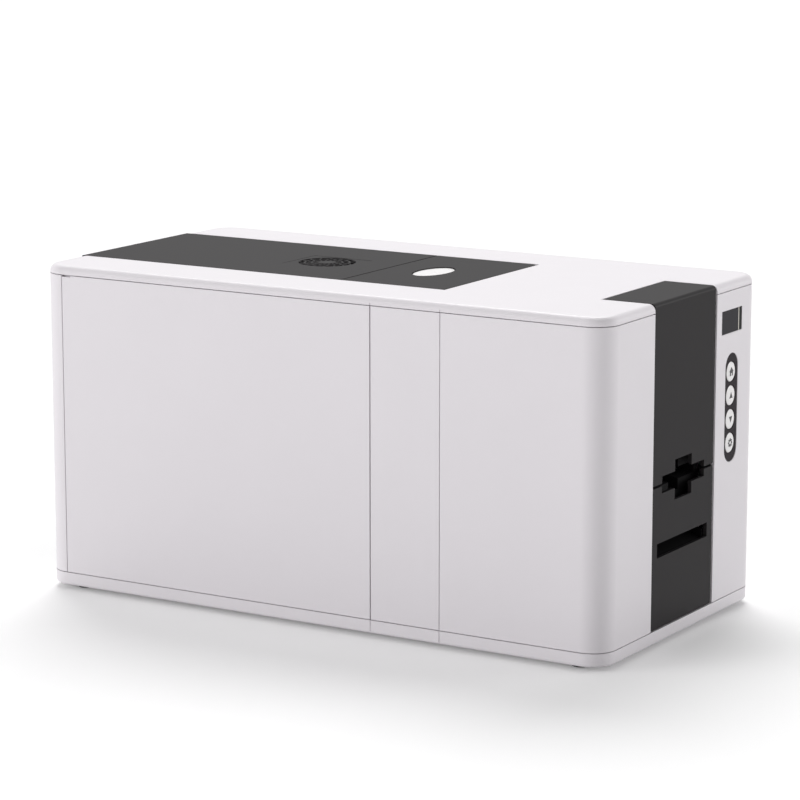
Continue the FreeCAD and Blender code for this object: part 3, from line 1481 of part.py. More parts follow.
def make_belt():
    """The one belt that drives every shaft of the card path."""
    start = frame_outer + s.pulley_offset
    x = (start + s.belt_gap, start + s.pulley_width - s.belt_gap)
    inner = s.pulley_radius + s.belt_gap
    outer = belt_band("belt_outer", inner + s.belt_thickness, x)
    hollow = belt_band("belt_inner", inner, (x[0] - s.overrun, x[1] + s.overrun))
    node(cut("belt_cut", outer, hollow), "transport_belt")


def motor_body(label, x, y, z, boss_side):
    """A square step motor with its end caps, between bounds along X, and a boss on one end."""
    size = around(y, s.motor_size)
    height = around(z, s.motor_size)
    caps = [pad("{}_cap_{}".format(label, index), "YZ", [rectangle(size, height, s.motor_corner)], span)
            for index, span in enumerate(((x[0], x[0] + s.motor_cap), (x[1] - s.motor_cap, x[1])))]
    core = pad(label + "_core", "YZ",
               [rectangle(around(y, s.motor_size, -s.overrun), around(z, s.motor_size, -s.overrun),
                          s.motor_corner)], x)
    start = x[1] if boss_side > 0 else x[0] - s.frame_thickness
    boss = rod(label + "_boss", "X", (start, y, z), s.motor_boss_radius, s.frame_thickness)
    return caps + [core, boss]


def make_feed_motor():
    """The motor between the frame plates that drives the belt."""
    x = (frame_inner - s.motor_length, frame_inner)
    parts = motor_body("feed_motor", x, platen_y, s.feed_motor_z, 1)
    bore = rod("feed_motor_bore", "X", (frame_inner - s.motor_cap, platen_y, s.feed_motor_z),
               s.motor_shaft_radius + s.shaft_gap, s.motor_cap + s.frame_thickness + s.overrun)
    node(cut("feed_motor_cut", fuse("feed_motor_whole", *parts), bore), "feed_motor")
    shaft_start = frame_inner - s.motor_cap + s.overrun
    tail = frame_outer + s.pulley_offset + s.pulley_width + s.pulley_rim
    shaft = rod("motor_pulley_shaft", "X", (shaft_start, platen_y, s.feed_motor_z),
                s.motor_shaft_radius, tail - shaft_start)
    node(fuse("motor_pulley_whole", shaft, *pulley("motor_pulley", platen_y, s.feed_motor_z)),
         "motor_pulley")


def outboard_motor(name, side, y, z, shaft_radius, shaft_end):
    """A motor outside a frame plate on four pillars, with a blind bore for the driven shaft."""
    near = frame_outer + s.standoff_length
    x = mirrored(side, near, inner_side - s.motor_room)
    parts = motor_body(name, x, y, z, -side)
    for index, (across, up) in enumerate(((-1, -1), (1, -1), (1, 1), (-1, 1))):
        start = mirrored(side, frame_outer, near)[0]
        parts.append(rod("{}_pillar_{}".format(name, index), "X",
                         (start, y + across * s.standoff_spacing / 2, z + up * s.standoff_spacing / 2),
                         s.standoff_radius, s.standoff_length))
    face = near - s.frame_thickness
    bore_x = mirrored(side, face - s.overrun, shaft_end + s.fit_gap)
    bore = rod(name + "_bore", "X", (bore_x[0], y, z), shaft_radius + s.shaft_gap, bore_x[1] - bore_x[0])
    node(cut(name + "_cut", fuse(name + "_whole", *parts), bore), name)


def make_magazine():
    """The upright magazine for blank cards, with its weight on top of the pack."""
    inner_x = s.card_width / 2 + s.magazine_gap
    inner_y = s.card_length / 2 + s.magazine_gap
    outer_x = inner_x + s.magazine_wall
    outer_y = inner_y + s.magazine_wall
    y = magazine_y
    mouth_z = top - s.magazine_drop
    tube = pad("magazine_tube", "XY",
               [rectangle((-outer_x, outer_x), (y - outer_y, y + outer_y)),
                rectangle((-inner_x, inner_x), (y - inner_y, y + inner_y))],
               (path_z - s.magazine_wall, mouth_z))
    floor_plate = box("magazine_floor", (-outer_x, outer_x), (y - outer_y, y + outer_y),
                      (path_z - s.magazine_wall, path_z))
    wings = []
    for side, word in ((-1, "left"), (1, "right")):
        x = mirrored(side, outer_x - s.magazine_wall / 2, frame_inner)
        wings.append(box("magazine_wing_" + word, x, (y - inner_y / 2, y + inner_y / 2),
                         (shoulder_z - s.magazine_wing_height, shoulder_z)))
    front_wall = (y - outer_y - s.overrun, y - inner_y + s.overrun)
    gate = box("magazine_gate", (-inner_x, inner_x), front_wall, (path_z, path_z + s.card_gap))
    pick_room = box("pick_room", around(ZERO, s.pick_width, s.overrun),
                    around(pick_y, 2 * s.roller_radius, s.overrun),
                    (path_z - s.magazine_wall - s.overrun, path_z + s.overrun))
    finger = box("magazine_finger_slot", around(ZERO, s.notch_width), front_wall,
                 (path_z + 2 * s.magazine_wing_height, mouth_z + s.overrun))
    whole = fuse("magazine_whole", tube, floor_plate, *wings)
    node(cut("magazine_cut", whole, gate, pick_room, finger), "card_magazine")
    low = path_z + s.fit_gap
    plate = box("weight_plate", around(ZERO, s.card_width), around(y, s.card_length),
                (low, low + s.weight_thickness))
    knob = rod("weight_knob", "Z", (ZERO, y, low), s.weight_knob_radius,
               s.weight_thickness + s.weight_knob_height)
    node(fuse("weight_whole", plate, knob), "card_weight")


def make_print_head():
    """The print head with its cooling fins, on a carriage that lifts in slots of the frame."""
    low = path_z + s.head_gap
    y = platen_y
    tip = around(y, s.head_tip)
    block = around(y, s.head_length)
    head = pad("head_block", "YZ",
               [[(tip[0], low), (tip[1], low), (block[1], low + s.head_tip),
                 (block[1], low + s.head_height), (block[0], low + s.head_height),
                 (block[0], low + s.head_tip)]],
               around(ZERO, s.head_width))
    fins = []
    seat = low + s.head_height
    fin_z = (seat - s.overrun, seat + FIN_SHARE * (carriage_tab_z - seat))
    for index in range(FIN_COUNT):
        x = (index - (FIN_COUNT - 1) / 2) * s.fin_pitch
        fins.append(box("fin_{}".format(index), around(x, s.fin_thickness), block, fin_z))
    node(fuse("print_head_whole", head, *fins), "print_head")
    width = frame_inner - s.fit_gap
    peak = carriage_tab_z + s.carriage_tab
    fin_room = s.fin_pitch * (FIN_COUNT / 2)
    parts = []
    for side, word in ((-1, "left"), (1, "right")):
        post = mirrored(side, fin_room, s.head_width / 2)
        parts.append(box("carriage_post_" + word, post, block, (seat, carriage_tab_z + s.overrun)))
        tab = mirrored(side, width - s.carriage_thickness, frame_outer + s.overrun)
        parts.append(box("carriage_tab_" + word, tab, around(y, s.carriage_tab),
                         (carriage_tab_z, peak)))
    parts.append(box("carriage_bridge", (-width, width), around(y, s.carriage_length),
                     (carriage_tab_z, carriage_tab_z + s.carriage_thickness)))
    node(fuse("carriage_whole", *parts), "head_carriage")


def make_ribbon():
    """The ribbon cassette and its two spools."""
    z = path_z + s.spool_rise
    y = platen_y
    reach = s.spool_spread + s.cassette_margin - s.overrun
    outer = frame_inner - s.fit_gap
    bar_z = z - s.cassette_bar_drop
    side_view = rectangle((y - reach, y + reach),
                          (bar_z - 2 * s.cassette_bar_radius, z + s.spool_core_radius))
    plates = []
    holes = [(y + side * s.spool_spread, z, s.journal_radius + s.shaft_gap) for side in (-1, 1)]
    for side, word in ((-1, "left"), (1, "right")):
        plates.append(pad("cassette_{}".format(word), "YZ", [side_view] + holes,
                          mirrored(side, outer - s.cassette_plate, outer)))
    for side, word in ((-1, "front"), (1, "rear")):
        bar_y = y + side * (reach - s.cassette_bar_radius)
        plates.append(rod("cassette_bar_" + word, "X", (-outer, bar_y, bar_z),
                          s.cassette_bar_radius, 2 * outer))
    node(fuse("cassette_whole", *plates), "ribbon_cassette")
    for name, side, roll in (("ribbon_takeup_spool", -1, s.takeup_roll_radius),
                             ("ribbon_supply_spool", 1, s.supply_roll_radius)):
        y_spool = y + side * s.spool_spread
        half = s.spool_width / 2
        right_end = frame_outer + s.standoff_length if side < 0 else outer
        core = rod(name + "_core", "X", (-outer, y_spool, z), s.journal_radius, outer + right_end)
        wound = rod(name + "_roll", "X", (-half + s.spool_flange, y_spool, z), roll,
                    s.spool_width - 2 * s.spool_flange)
        discs = [rod("{}_disc_{}".format(name, index), "X", (start, y_spool, z),
                     s.spool_flange_radius, s.spool_flange)
                 for index, start in enumerate((-half, half - s.spool_flange))]
        node(fuse(name + "_whole", core, wound, *discs), name)
    outboard_motor("ribbon_motor", 1, y - s.spool_spread, z, s.journal_radius,
                   frame_outer + s.standoff_length)


def make_flipper():
    """The drum that turns a card over, or hands it down to the lower chute."""
    half = s.flipper_width / 2
    reach = s.flipper_radius - s.flipper_slot
    parts = []
    for side, word in ((-1, "lower"), (1, "upper")):
        z = mirrored(side, s.flipper_slot / 2, s.flipper_slot / 2 + s.flipper_plate)
        parts.append(box("flipper_plate_" + word, (-half, half), around(flipper_y, 2 * reach),
                         (flipper_z + z[0], flipper_z + z[1])))
    for side, word in ((-1, "left"), (1, "right")):
        disc = mirrored(side, half - s.flipper_disc, half)
        parts.append(rod("flipper_disc_" + word, "X", (disc[0], flipper_y, flipper_z),
                         s.flipper_disc_radius, s.flipper_disc))
        end = frame_outer + s.overrun if side > 0 else frame_outer + s.standoff_length
        stub = mirrored(side, half - s.flipper_disc, end)
        parts.append(rod("flipper_stub_" + word, "X", (stub[0], flipper_y, flipper_z),
                         s.flipper_shaft_radius, stub[1] - stub[0]))
    node(fuse("flipper_whole", *parts), "flipper_drum")
    outboard_motor("flipper_motor", -1, flipper_y, flipper_z, s.flipper_shaft_radius,
                   frame_outer + s.standoff_length)


def make_chute():
    """The sloped tray from the flipper to the lower slot."""
    low_y = cover_inner + s.fit_gap
    low_foot = (low_y, chute_bottom_z - s.chute_thickness)
    high_foot = (chute_top_y, chute_top_z - s.chute_thickness)
    tray = pad("chute_tray", "YZ",
               [[low_foot, high_foot, (chute_top_y, chute_top_z), (low_y, chute_bottom_z)]],
               (-frame_inner, frame_inner))
    rails = []
    for side, word in ((-1, "left"), (1, "right")):
        x = mirrored(side, frame_inner - s.chute_thickness, frame_inner)
        rails.append(pad("chute_rail_" + word, "YZ",
                         [[low_foot, high_foot, (chute_top_y, chute_top_z + s.chute_thickness),
                           (low_y, chute_bottom_z + 3 * s.chute_thickness)]], x))
    node(fuse("chute_whole", tray, *rails), "lower_card_chute")


def make_boards():
    """The main board with its parts, and the power supply."""
    x = board_middle_x()
    low = pan_z + s.board_standoff
    card_y = around(main_board_y, s.board_length)
    card = box("main_card", around(x, main_board_width), card_y, (low, low + s.board_thickness))
    high = low + s.board_thickness
    parts = []
    for index, (across, along, scale) in enumerate(CHIP_SHARES):
        middle_x = x + across * main_board_width
        middle_y = main_board_y + along * s.board_length
        parts.append(box("chip_{}".format(index), around(middle_x, s.chip_size * scale),
                         around(middle_y, s.chip_size * scale), (low, high + s.chip_height)))
    header_x = around(x + main_board_width * HEADER_ACROSS_SHARE, s.chip_height * 2)
    for index, along in enumerate(HEADER_SHARES):
        parts.append(box("header_{}".format(index), header_x,
                         around(main_board_y + along * s.board_length, s.chip_size),
                         (low, high + 3 * s.chip_height)))
    node(fuse("main_board_whole", card, *parts), "main_board")
    supply_x = (-inner_side + s.door_rib_depth + s.fit_gap, -frame_outer - s.supply_gap)
    case = pad("supply_case", "XY", [rectangle(supply_x, around(supply_y, s.supply_length))],
               (pan_z, pan_z + s.supply_height))
    node(case, "power_supply")


def write_nodes():
    """Check every object, then write each piece to its own file."""
    doc.recompute()
    for item in doc.Objects:
        if "Invalid" in item.State or "Error" in item.State:
            raise RuntimeError("{} failed: {}".format(item.Label, item.State))
    for item in NODES:
        if item.Shape.isNull() or not item.Shape.isValid() or not item.Shape.Solids:
            raise RuntimeError("{} has no sound shape".format(item.Label))
    os.makedirs("parts", exist_ok=True)
    for item in NODES:
        item.Shape.exportStep("parts/{}.step".format(item.Label))
        bounds = item.Shape.BoundBox
        print("{:22s} {:2d} solids {:9.0f} mm3  X {:.1f} {:.1f}  Y {:.1f} {:.1f}  Z {:.1f} {:.1f}".format(
            item.Label, len(item.Shape.Solids), item.Shape.Volume, bounds.XMin, bounds.XMax, bounds.YMin,
            bounds.YMax, bounds.ZMin, bounds.ZMax))


make_base_tray()
make_feet()
make_screws()
make_top_cover()
skin_ring = make_skin_ring()
make_front_panels()
make_middle_panels()
make_rear_corners()
make_side_door()
make_front_upper_cover()
make_front_lower_panel()
make_card_exit_guide()
make_display()
make_bezel_and_buttons()
make_control_board()
make_front_lid()
make_rear_lid()
make_fan()
make_hinge_pins()
make_rear_panel()
make_sockets()
make_pan()
make_frame_plates()
make_cross_bars()
make_rollers()
make_belt()
make_feed_motor()
make_magazine()
make_print_head()
make_ribbon()
make_flipper()
make_chute()
make_boards()
write_nodes()
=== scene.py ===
import math

import bmesh
import bpy
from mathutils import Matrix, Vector
from mathutils.bvhtree import BVHTree


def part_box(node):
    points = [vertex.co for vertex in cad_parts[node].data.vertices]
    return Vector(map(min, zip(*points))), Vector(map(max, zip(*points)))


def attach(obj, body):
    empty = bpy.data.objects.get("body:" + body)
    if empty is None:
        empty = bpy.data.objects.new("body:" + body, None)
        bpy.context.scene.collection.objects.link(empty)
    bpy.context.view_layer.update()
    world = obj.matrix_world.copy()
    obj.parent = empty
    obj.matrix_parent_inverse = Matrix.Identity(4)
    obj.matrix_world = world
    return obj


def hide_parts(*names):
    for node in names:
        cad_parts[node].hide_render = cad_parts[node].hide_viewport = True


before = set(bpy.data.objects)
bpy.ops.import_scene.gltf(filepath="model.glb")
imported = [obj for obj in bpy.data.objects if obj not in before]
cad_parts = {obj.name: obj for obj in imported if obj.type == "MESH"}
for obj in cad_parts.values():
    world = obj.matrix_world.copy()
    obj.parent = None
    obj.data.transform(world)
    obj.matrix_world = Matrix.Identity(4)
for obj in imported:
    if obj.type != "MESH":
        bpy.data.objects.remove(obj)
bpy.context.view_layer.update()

bl_info = {
    "name": "Card Printer Dressing",
    "version": (1, 0, 0),
    "blender": (4, 5, 0),
    "location": "View3D > Sidebar > Card Printer",
    "description": "Gives an id card printer its finishes, its fine detail and a studio",
    "category": "Object",
}

MM = 0.001

# Directions across, up and along each axis
AXES = {
    "X": (Vector((0, 1, 0)), Vector((0, 0, 1)), Vector((1, 0, 0))),
    "Y": (Vector((0, 0, 1)), Vector((1, 0, 0)), Vector((0, 1, 0))),
    "Z": (Vector((1, 0, 0)), Vector((0, 1, 0)), Vector((0, 0, 1))),
}

KEY_NAMES = ("home_button", "up_button", "down_button", "menu_button")
DRIVEN_ROLLERS = ("pick_roller", "feed_roller", "platen_roller", "flipper_feed_roller", "exit_roller")

# Least divisor, the angle that keeps an edge sharp, and the steps of a cap, a rim and a swept blade
NEAR_ZERO = 1e-6
PIECE_CREASE = math.radians(35)
CURVE_STEPS = 6
RIM_STEPS = 4
SWEEP_STEPS = 8

# Signs on the keys, in shares of half their height: outlines, and a wheel's radius, teeth and bore
ARROW_SHARES = ((-0.84, -0.66), (0.84, -0.66), (0.0, 0.88))
SIGN_SHARES = {
    "home_button": ((-1.12, 0.02), (0.0, 1.1), (1.12, 0.02), (0.8, 0.02), (0.8, -1.0), (0.24, -1.0),
                    (0.24, -0.35), (-0.24, -0.35), (-0.24, -1.0), (-0.8, -1.0), (-0.8, 0.02)),
    "up_button": ARROW_SHARES,
    "down_button": tuple((x, -z) for x, z in ARROW_SHARES),
}
WHEEL_SHARES = (1.12, 0.24, 0.40)
WHEEL_TEETH = 8
PAD_ROLL_SHARE = 0.8

# Fan blades, in shares of the hub's radius and of the rotor's depth
BLADE_ROOT_SHARE = 0.96
BLADE_DEPTH_SHARE = 0.92

# A foot's sole and a screw's head, in shares of their height or depth and of their radius
FOOT_SHARES = ((0, 0), (0, 0.30), (0.2, 0.34), (0.2, 0.52), (0, 0.56), (0, 0.88), (0.1, 0.96),
               (0.3, 1.0), (1.0, 1.0))
SCREW_HEAD_SHARES = ((0.12, 0.62), (0.30, 0.86), (0.58, 1.0), (1.0, 1.0))
RECESS_RIM_SHARE = 0.05
RECESS_FLOOR_SHARE = 0.55
THREAD_SHARE = 0.84

# Sockets and rocker: prong points, the tongue and its contacts, the springs' bends (depth behind the
# rear face and drop), and the signs in shares of half the rocker's height and of their stroke
PRONG_POINT_SHARE = 0.55
TONGUE_SHARE = 0.22
TONGUE_CONTACT_SHARE = 0.12
TONGUE_CONTACTS = 4
SPRING_SHARE = 0.28
SPRINGS = 8
SPRING_BENDS = ((11.9 * MM, 4.2 * MM), (10.5 * MM, 1.4 * MM), (4.0 * MM, 3.9 * MM))
ROCKER_RISE_SHARE = 0.28
ROCKER_STROKE_SHARE = 0.04
RING_STROKES = (2.4, 4.0)

# Motors: share of the half width and sharpness of corner, of the caps, the core and its grooves
MOTOR_OUTLINE_SHARES = ((1.0, 9), (0.955, 12), (0.935, 12))
CORE_SEAT_SHARE = 0.9
SHEET_GAP_SHARE = 0.12
MOTOR_SCREW_BORE_SHARE = 0.55
MOTOR_SCREW_DEPTH_SHARE = 0.4

# Spools: bore and hub in shares of the journal, steps of the flange, and the wound film
SPOOL_BORE_SHARE = 0.9
HUB_SHARES = (1.8, 1.7)
STEP_SHARES = (0.8, 0.76)
STEP_DEPTH_SHARE = 0.4
SPOOL_TOOTH_SHARE = 0.045
SPOOL_TEETH = 30
FILM_SINK_SHARE = 1.4
FILM_RIDGES = 12
SPAN_EDGE_SHARE = 1.6

# Places on the main board, in shares of its width and length, and the side, height and legs of chips
CHIP_PLACE_SHARES = ((0.25, 0.2), (0.62, 0.40), (0.40, 0.75))
CHIPS = ((13 * MM, 2.4 * MM, 12), (17 * MM, 2.4 * MM, 16), (12 * MM, 2.0 * MM, 10))
PLUG_ACROSS_SHARE = 0.85
PLUG_PLACE_SHARES = (0.1, 0.55, 0.9)
HEADER_PINS = 6
CAN_PLACE_SHARES = ((0.15, 0.42), (0.15, 0.50), (0.2, 0.9), (0.5, 0.08), (0.62, 0.08))
# A capacitor's heights and radii, in millimetres
CAN_PROFILE = ((0, 0), (0, 3.1), (1.0, 2.9), (1.5, 3.1), (8.6, 3.1), (9.0, 2.8), (8.8, 2.2), (8.8, 0))
SMALL_PARTS = 36
GOLDEN_SHARE = 0.618034
# Where the field of small parts starts and how far it reaches, across and along the board
SMALL_FIELD_SHARES = (0.08, 0.62, 0.05, 0.9)
LEG_SHARE = 0.22
LEG_ROW_SHARE = 0.86
LEG_REACH_SHARE = 0.16
LEG_HEIGHT_SHARE = 0.4
HOLE_SHARE = 0.34

# Studio: the camera's film in millimetres, how far it sees in metres, and the light's colours
FILM_WIDTH = 36.0
FAR_LIMIT = 100.0
WHITE = (1.0, 1.0, 1.0, 1.0)
SURROUNDING_TINT = (1.0, 0.995, 1.0, 1.0)


# Properties

def number(name, description, default, **limits):
    """A number that the user may change."""
    return bpy.props.FloatProperty(name=name, description=description, default=default, **limits)


def size(name, description, millimetres, least=0.0):
    """A length or, with a lower least value, a place."""
    return number(name, description, millimetres * MM, min=least, precision=5, subtype="DISTANCE",
                  unit="LENGTH")


def share(name, description, default):
    """A share from none to all."""
    return number(name, description, default, min=0.0, max=1.0, subtype="FACTOR")


def turn(name, description, degrees):
    """An angle."""
    return number(name, description, math.radians(degrees), subtype="ANGLE", unit="ROTATION")


def count(name, description, default):
    """A whole number of like features."""
    return bpy.props.IntProperty(name=name, description=description, default=default, min=1)


def tint(name, description, red, green, blue):
    """A colour, given as it looks on a screen from 0 to 255."""
    linear = [((value / 255 + 0.055) / 1.055) ** 2.4 for value in (red, green, blue)]
    return bpy.props.FloatVectorProperty(name=name, description=description, default=linear,
                                         size=3, min=0.0, max=1.0, subtype="COLOR")


class PrinterColours(bpy.types.PropertyGroup):
    """The colours of the printer's materials"""
    white_shell: tint("White shell", "Housing, door and covers", 226, 222, 226)
    black_shell: tint("Black shell", "Lids, front strip and rear panel", 44, 42, 43)
    dark_plastic: tint("Dark plastic", "Sockets, fan and carriage", 26, 26, 27)
    # Painted shade: the card guides are coloured darker than the other dark plastic, standing in for the
    # shade behind the slots
    tunnel: tint("Card guides", "Card guides behind the slots", 14, 13, 14)
    grey_plastic: tint("Grey plastic", "Inner mouldings", 120, 122, 125)
    bezel: tint("Bezel", "The pill round the keys", 56, 52, 55)
    key: tint("Key", "Key caps and push pad", 240, 238, 238)
    sign: tint("Sign", "Signs inlaid in the keys", 26, 24, 26)
    screen: tint("Screen", "Display while it is off", 44, 43, 47)
    glass: tint("Glass", "Black edge of the display", 12, 12, 14)
    board: tint("Board", "Solder mask of the boards", 18, 84, 48)
    copper: tint("Copper", "Tracks under the solder mask", 44, 120, 66)
    foot: tint("Foot", "Rubber feet", 34, 36, 35)
    roller: tint("Roller", "Rubber of the driven rollers", 62, 62, 66)
    cleaner: tint("Cleaner", "Tacky cleaning roller", 120, 170, 205)
    belt: tint("Belt", "Toothed belt", 26, 26, 27)
    film: tint("Film", "Wound ribbon film", 58, 22, 66)
    steel: tint("Steel", "Galvanised sheet", 178, 181, 184)
    shaft: tint("Shaft", "Ground shafts and pins", 205, 206, 208)
    nickel: tint("Nickel", "Socket shells and contacts", 190, 186, 178)
    gold: tint("Gold", "Plated contacts", 214, 176, 96)
    aluminium: tint("Aluminium", "Print head and motor ends", 196, 198, 200)
    motor: tint("Motor", "Motor laminations", 36, 36, 38)
    ceramic: tint("Ceramic", "Heater strip and light plugs", 232, 228, 218)
    floor: tint("Floor", "Pale floor", 246, 246, 246)


class ShellSizes(bpy.types.PropertyGroup):
    """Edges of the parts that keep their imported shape"""
    weld: size("Weld", "Vertices closer than this are one", 0.01)
    flatness: turn("Flatness", "Facets within this angle become one face", 0.5)
    crease: turn("Crease", "Edges sharper than this are rounded", 30)
    shell_edge: size("Shell edge", "Edge radius of the outer shells", 0.25)
    inner_edge: size("Inner edge", "Edge radius of the inner parts", 0.2)


class KeySizes(bpy.types.PropertyGroup):
    """Keys, push pad and display"""
    flange_step: size("Flange step", "How far the flange stands out from the cap", 0.5)
    flange: size("Flange", "Thickness of the flange", 1.0)
    stem_radius: size("Stem radius", "Radius of the stem behind the cap", 2.0)
    stem: size("Stem", "Length of the stem", 2.6)
    dome: size("Dome", "Rise of the cap's middle over its rim", 0.45)
    rim: size("Rim", "Roll of the cap's rim", 0.7)
    sign_size: size("Sign", "Half the height of a sign", 2.6)
    sign_rise: size("Sign rise", "How far a sign stands proud", 0.02)
    pad_margin: size("Pad margin", "How far the pad's flange stands out", 1.5)
    pad_crown: size("Pad crown", "Rise of the pad's middle", 0.5)
    pad_flange: size("Pad flange", "Thickness of the pad's flange", 1.2)
    window_flange: size("Window flange", "Width of the flange behind the window", 1.5)
    window_back: size("Window back", "Thickness of the window's flange", 1.8)
    screen_share: share("Screen share", "Width of the grey screen in the window", 0.84)
    line_share: share("Line share", "Width of the light line beside it", 0.035)


class VentSizes(bpy.types.PropertyGroup):
    """Vent grille and fan"""
    outer_radius: size("Outer radius", "Radius of the largest slot ring", 18.4)
    ring_pitch: size("Ring pitch", "Step from one slot ring to the next", 4.6)
    slot: size("Slot", "Width of a ring of slots", 3.1)
    rib: size("Rib", "Thickness of a slanted rib", 1.2)
    swirl: turn("Swirl", "How far a rib turns on its way outward", -24)
    lean: size("Lean", "How far a rib leans from top to bottom", 0.7)
    rings: count("Rings", "Rings of slots", 3)
    ribs: count("Ribs", "Slanted ribs", 16)
    hub_radius: size("Hub radius", "Radius of the fan hub", 8.5)
    axle_radius: size("Axle radius", "Bore of the fan hub", 1.5)
    blades: count("Blades", "Fan blades", 7)
    blade: size("Blade", "Thickness of a fan blade", 0.9)
    sweep: turn("Sweep", "How far a blade turns on its way outward", 34)
    root_pitch: turn("Root pitch", "Slope of a blade at the hub", 46)
    tip_pitch: turn("Tip pitch", "Slope of a blade at its tip", 26)


class HardwareSizes(bpy.types.PropertyGroup):
    """Feet, screws and sockets"""
    foot_radius: size("Foot radius", "Radius of a rubber foot", 6.0)
    foot_height: size("Foot height", "Height of a rubber foot", 3.0)
    foot_stem: size("Foot stem", "Radius of a foot's stem", 2.5)
    head_radius: size("Head radius", "Radius of a screw head", 2.8)
    head_height: size("Head height", "Height of a screw head", 1.4)
    shank_radius: size("Shank radius", "Radius of a screw's thread", 1.4)
    screw_length: size("Screw length", "Length of a case screw", 9.0)
    recess: size("Recess", "Depth of the cross recess", 0.8)
    recess_width: size("Recess width", "Half the width of the recess arms", 0.35)
    recess_reach: size("Recess reach", "Reach of the recess arms", 1.5)
    thread_pitch: size("Thread pitch", "Pitch of the thread ridges", 0.8)
    base_screw_x: size("Base screw place", "Base screws to each side of the middle", 20.0)
    base_screw_y: size("Base screw reach", "Base screws before and behind the middle", 150.0)
    low_screw_z: size("Low screw height", "Height of the lower rear screws", 22.6)
    socket_z: size("Socket height", "Height of the sockets' middle", 40.0)
    inlet_x: size("Inlet place", "Power inlet to the right of the middle", 38.0)
    prong_pitch: size("Prong pitch", "Step between the prongs of the inlet", 6.85)
    prong_drop: size("Prong drop", "Outer prongs below, and middle prong above", 2.5)
    prong_width: size("Prong width", "Width of a prong", 2.3)
    prong_height: size("Prong height", "Height of a prong", 4.5)
    prong_base: size("Prong base", "Depth of a prong's root behind the rear face", 15.9)
    prong_tip: size("Prong tip", "Depth of a prong's tip behind the rear face", 6.9)
    tongue_root: size("Tongue root", "Depth of the data tongue's root behind the rear face", 9.6)
    tongue_tip: size("Tongue tip", "Depth of the data tongue's tip behind the rear face", 4.4)
    plating: size("Plating", "How far the tongue's contacts stand proud", 0.1)
    spring_pitch: size("Spring pitch", "Step between the network contacts", 1.02)
    sign_proud: size("Rocker sign", "How far the rocker's signs stand proud", 0.08)
    sign_root: size("Rocker sign root", "How deep the rocker's signs are set", 0.3)


class DriveSizes(bpy.types.PropertyGroup):
    """Rollers, pulleys, motors, print head and ribbon"""
    shaft_radius: size("Shaft radius", "Radius of a roller shaft", 3.0)
    sleeve_radius: size("Sleeve radius", "Radius of a rubber sleeve", 6.0)
    sleeve: size("Sleeve", "Length of a rubber sleeve", 56.0)
    pick_sleeve: size("Pick sleeve", "Length of the pick roller's sleeve", 40.0)
    sleeve_edge: size("Sleeve edge", "Bevel of a sleeve, and depth of its grooves", 0.48)
    grooves: count("Grooves", "Grooves round a driven sleeve", 13)
    clip_radius: size("Clip radius", "Radius of the clip on a shaft", 4.5)
    clip_inset: size("Clip inset", "Clip from the end of its shaft", 0.3)
    clip: size("Clip", "Thickness of the clip", 0.5)
    motor_shaft_radius: size("Motor shaft", "Radius of the shaft in the motor pulley", 2.5)
    pulley_bore: size("Pulley bore", "Radius of a pulley's bore", 2.4)
    pulley_start: size("Pulley place", "Where the pulleys start", 40.0)
    pulley_radius: size("Pulley radius", "Radius over the pulley teeth", 7.0)
    rim_radius: size("Rim radius", "Radius of the pulley rims", 8.5)
    rim: size("Rim", "Thickness of a pulley rim", 1.0)
    tooth: size("Tooth", "Depth of the pulley teeth", 0.5)
    teeth: count("Teeth", "Teeth of a pulley", 22)
    motor_size: size("Motor size", "Width of a motor", 42.0)
    motor_cap: size("Motor cap", "Length of a motor's end caps", 8.0)
    motor_boss: size("Motor boss", "Radius of a motor's boss", 11.0)
    boss_height: size("Boss height", "Height of a motor's boss", 2.0)
    boss_bore: size("Boss bore", "Radius of the bore in a motor's boss", 4.05)
    motor_screw: size("Motor screw", "Radius of a screw head in a motor's back", 2.75)
    motor_screw_proud: size("Screw height", "How far such a head stands proud", 0.01)
    pillar_radius: size("Pillar radius", "Radius of a motor pillar", 2.5)
    pillar: size("Pillar", "Length of a motor pillar", 12.0)
    pillar_spacing: size("Pillar spacing", "Spacing of the motor pillars and screws", 31.0)
    sheets: count("Sheets", "Grooves between the motor's laminations", 12)
    spool_flange: size("Spool flange", "Thickness of a spool flange", 1.5)
    spool_radius: size("Spool radius", "Radius of a spool flange", 15.0)
    spool: size("Spool", "Length of a spool over its flanges", 58.0)
    journal_radius: size("Journal radius", "Radius of a spool's ends", 3.0)
    supply_radius: size("Supply radius", "Radius of the full roll", 13.0)
    takeup_radius: size("Take-up radius", "Radius of the empty roll", 7.8)
    ridge: size("Ridge", "Unevenness of the wound film", 0.06)
    film: size("Film", "Thickness of the film as drawn", 0.1)
    head_gap: size("Head gap", "Film below the print head", 0.35)
    tip_margin: size("Tip margin", "Film's flat run past the heater's block on each side", 1.0)
    guide_gap: size("Guide gap", "Film below the cassette's bars", 0.2)
    bar_inset: size("Bar inset", "Cassette bars from the cassette's ends", 5.6)
    film_run: size("Film run", "Length of the film's slope beside the head", 14.0)
    film_dip: size("Film dip", "Film's bend below the cassette's bars", 3.0)
    head_tip: size("Head tip", "Length of the heater under the print head", 5.0)
    head_block: size("Head block", "Height of the print head's block", 16.0)
    fin_pitch: size("Fin pitch", "Step between cooling fins", 4.0)
    fin: size("Fin", "Thickness of a cooling fin", 1.4)
    fins: count("Fins", "Cooling fins", 9)
    head_sink: size("Head sink", "How deep fins and plugs are set in the block", 1.0)
    heater: size("Heater", "Radius of the heater line", 0.3)
    strip: size("Strip", "Thickness of the pale strip round it", 0.5)
    strip_inset: size("Strip inset", "Strip from the ends of the head", 1.0)
    plug_width: size("Plug width", "Width of a plug on the head", 7.0)
    plug_depth: size("Plug depth", "Depth of a plug on the head", 4.0)
    plug_height: size("Plug height", "Height of a plug over the block", 3.0)
    plug_inset: size("Plug inset", "Plug's middle from the end of the head", 5.0)


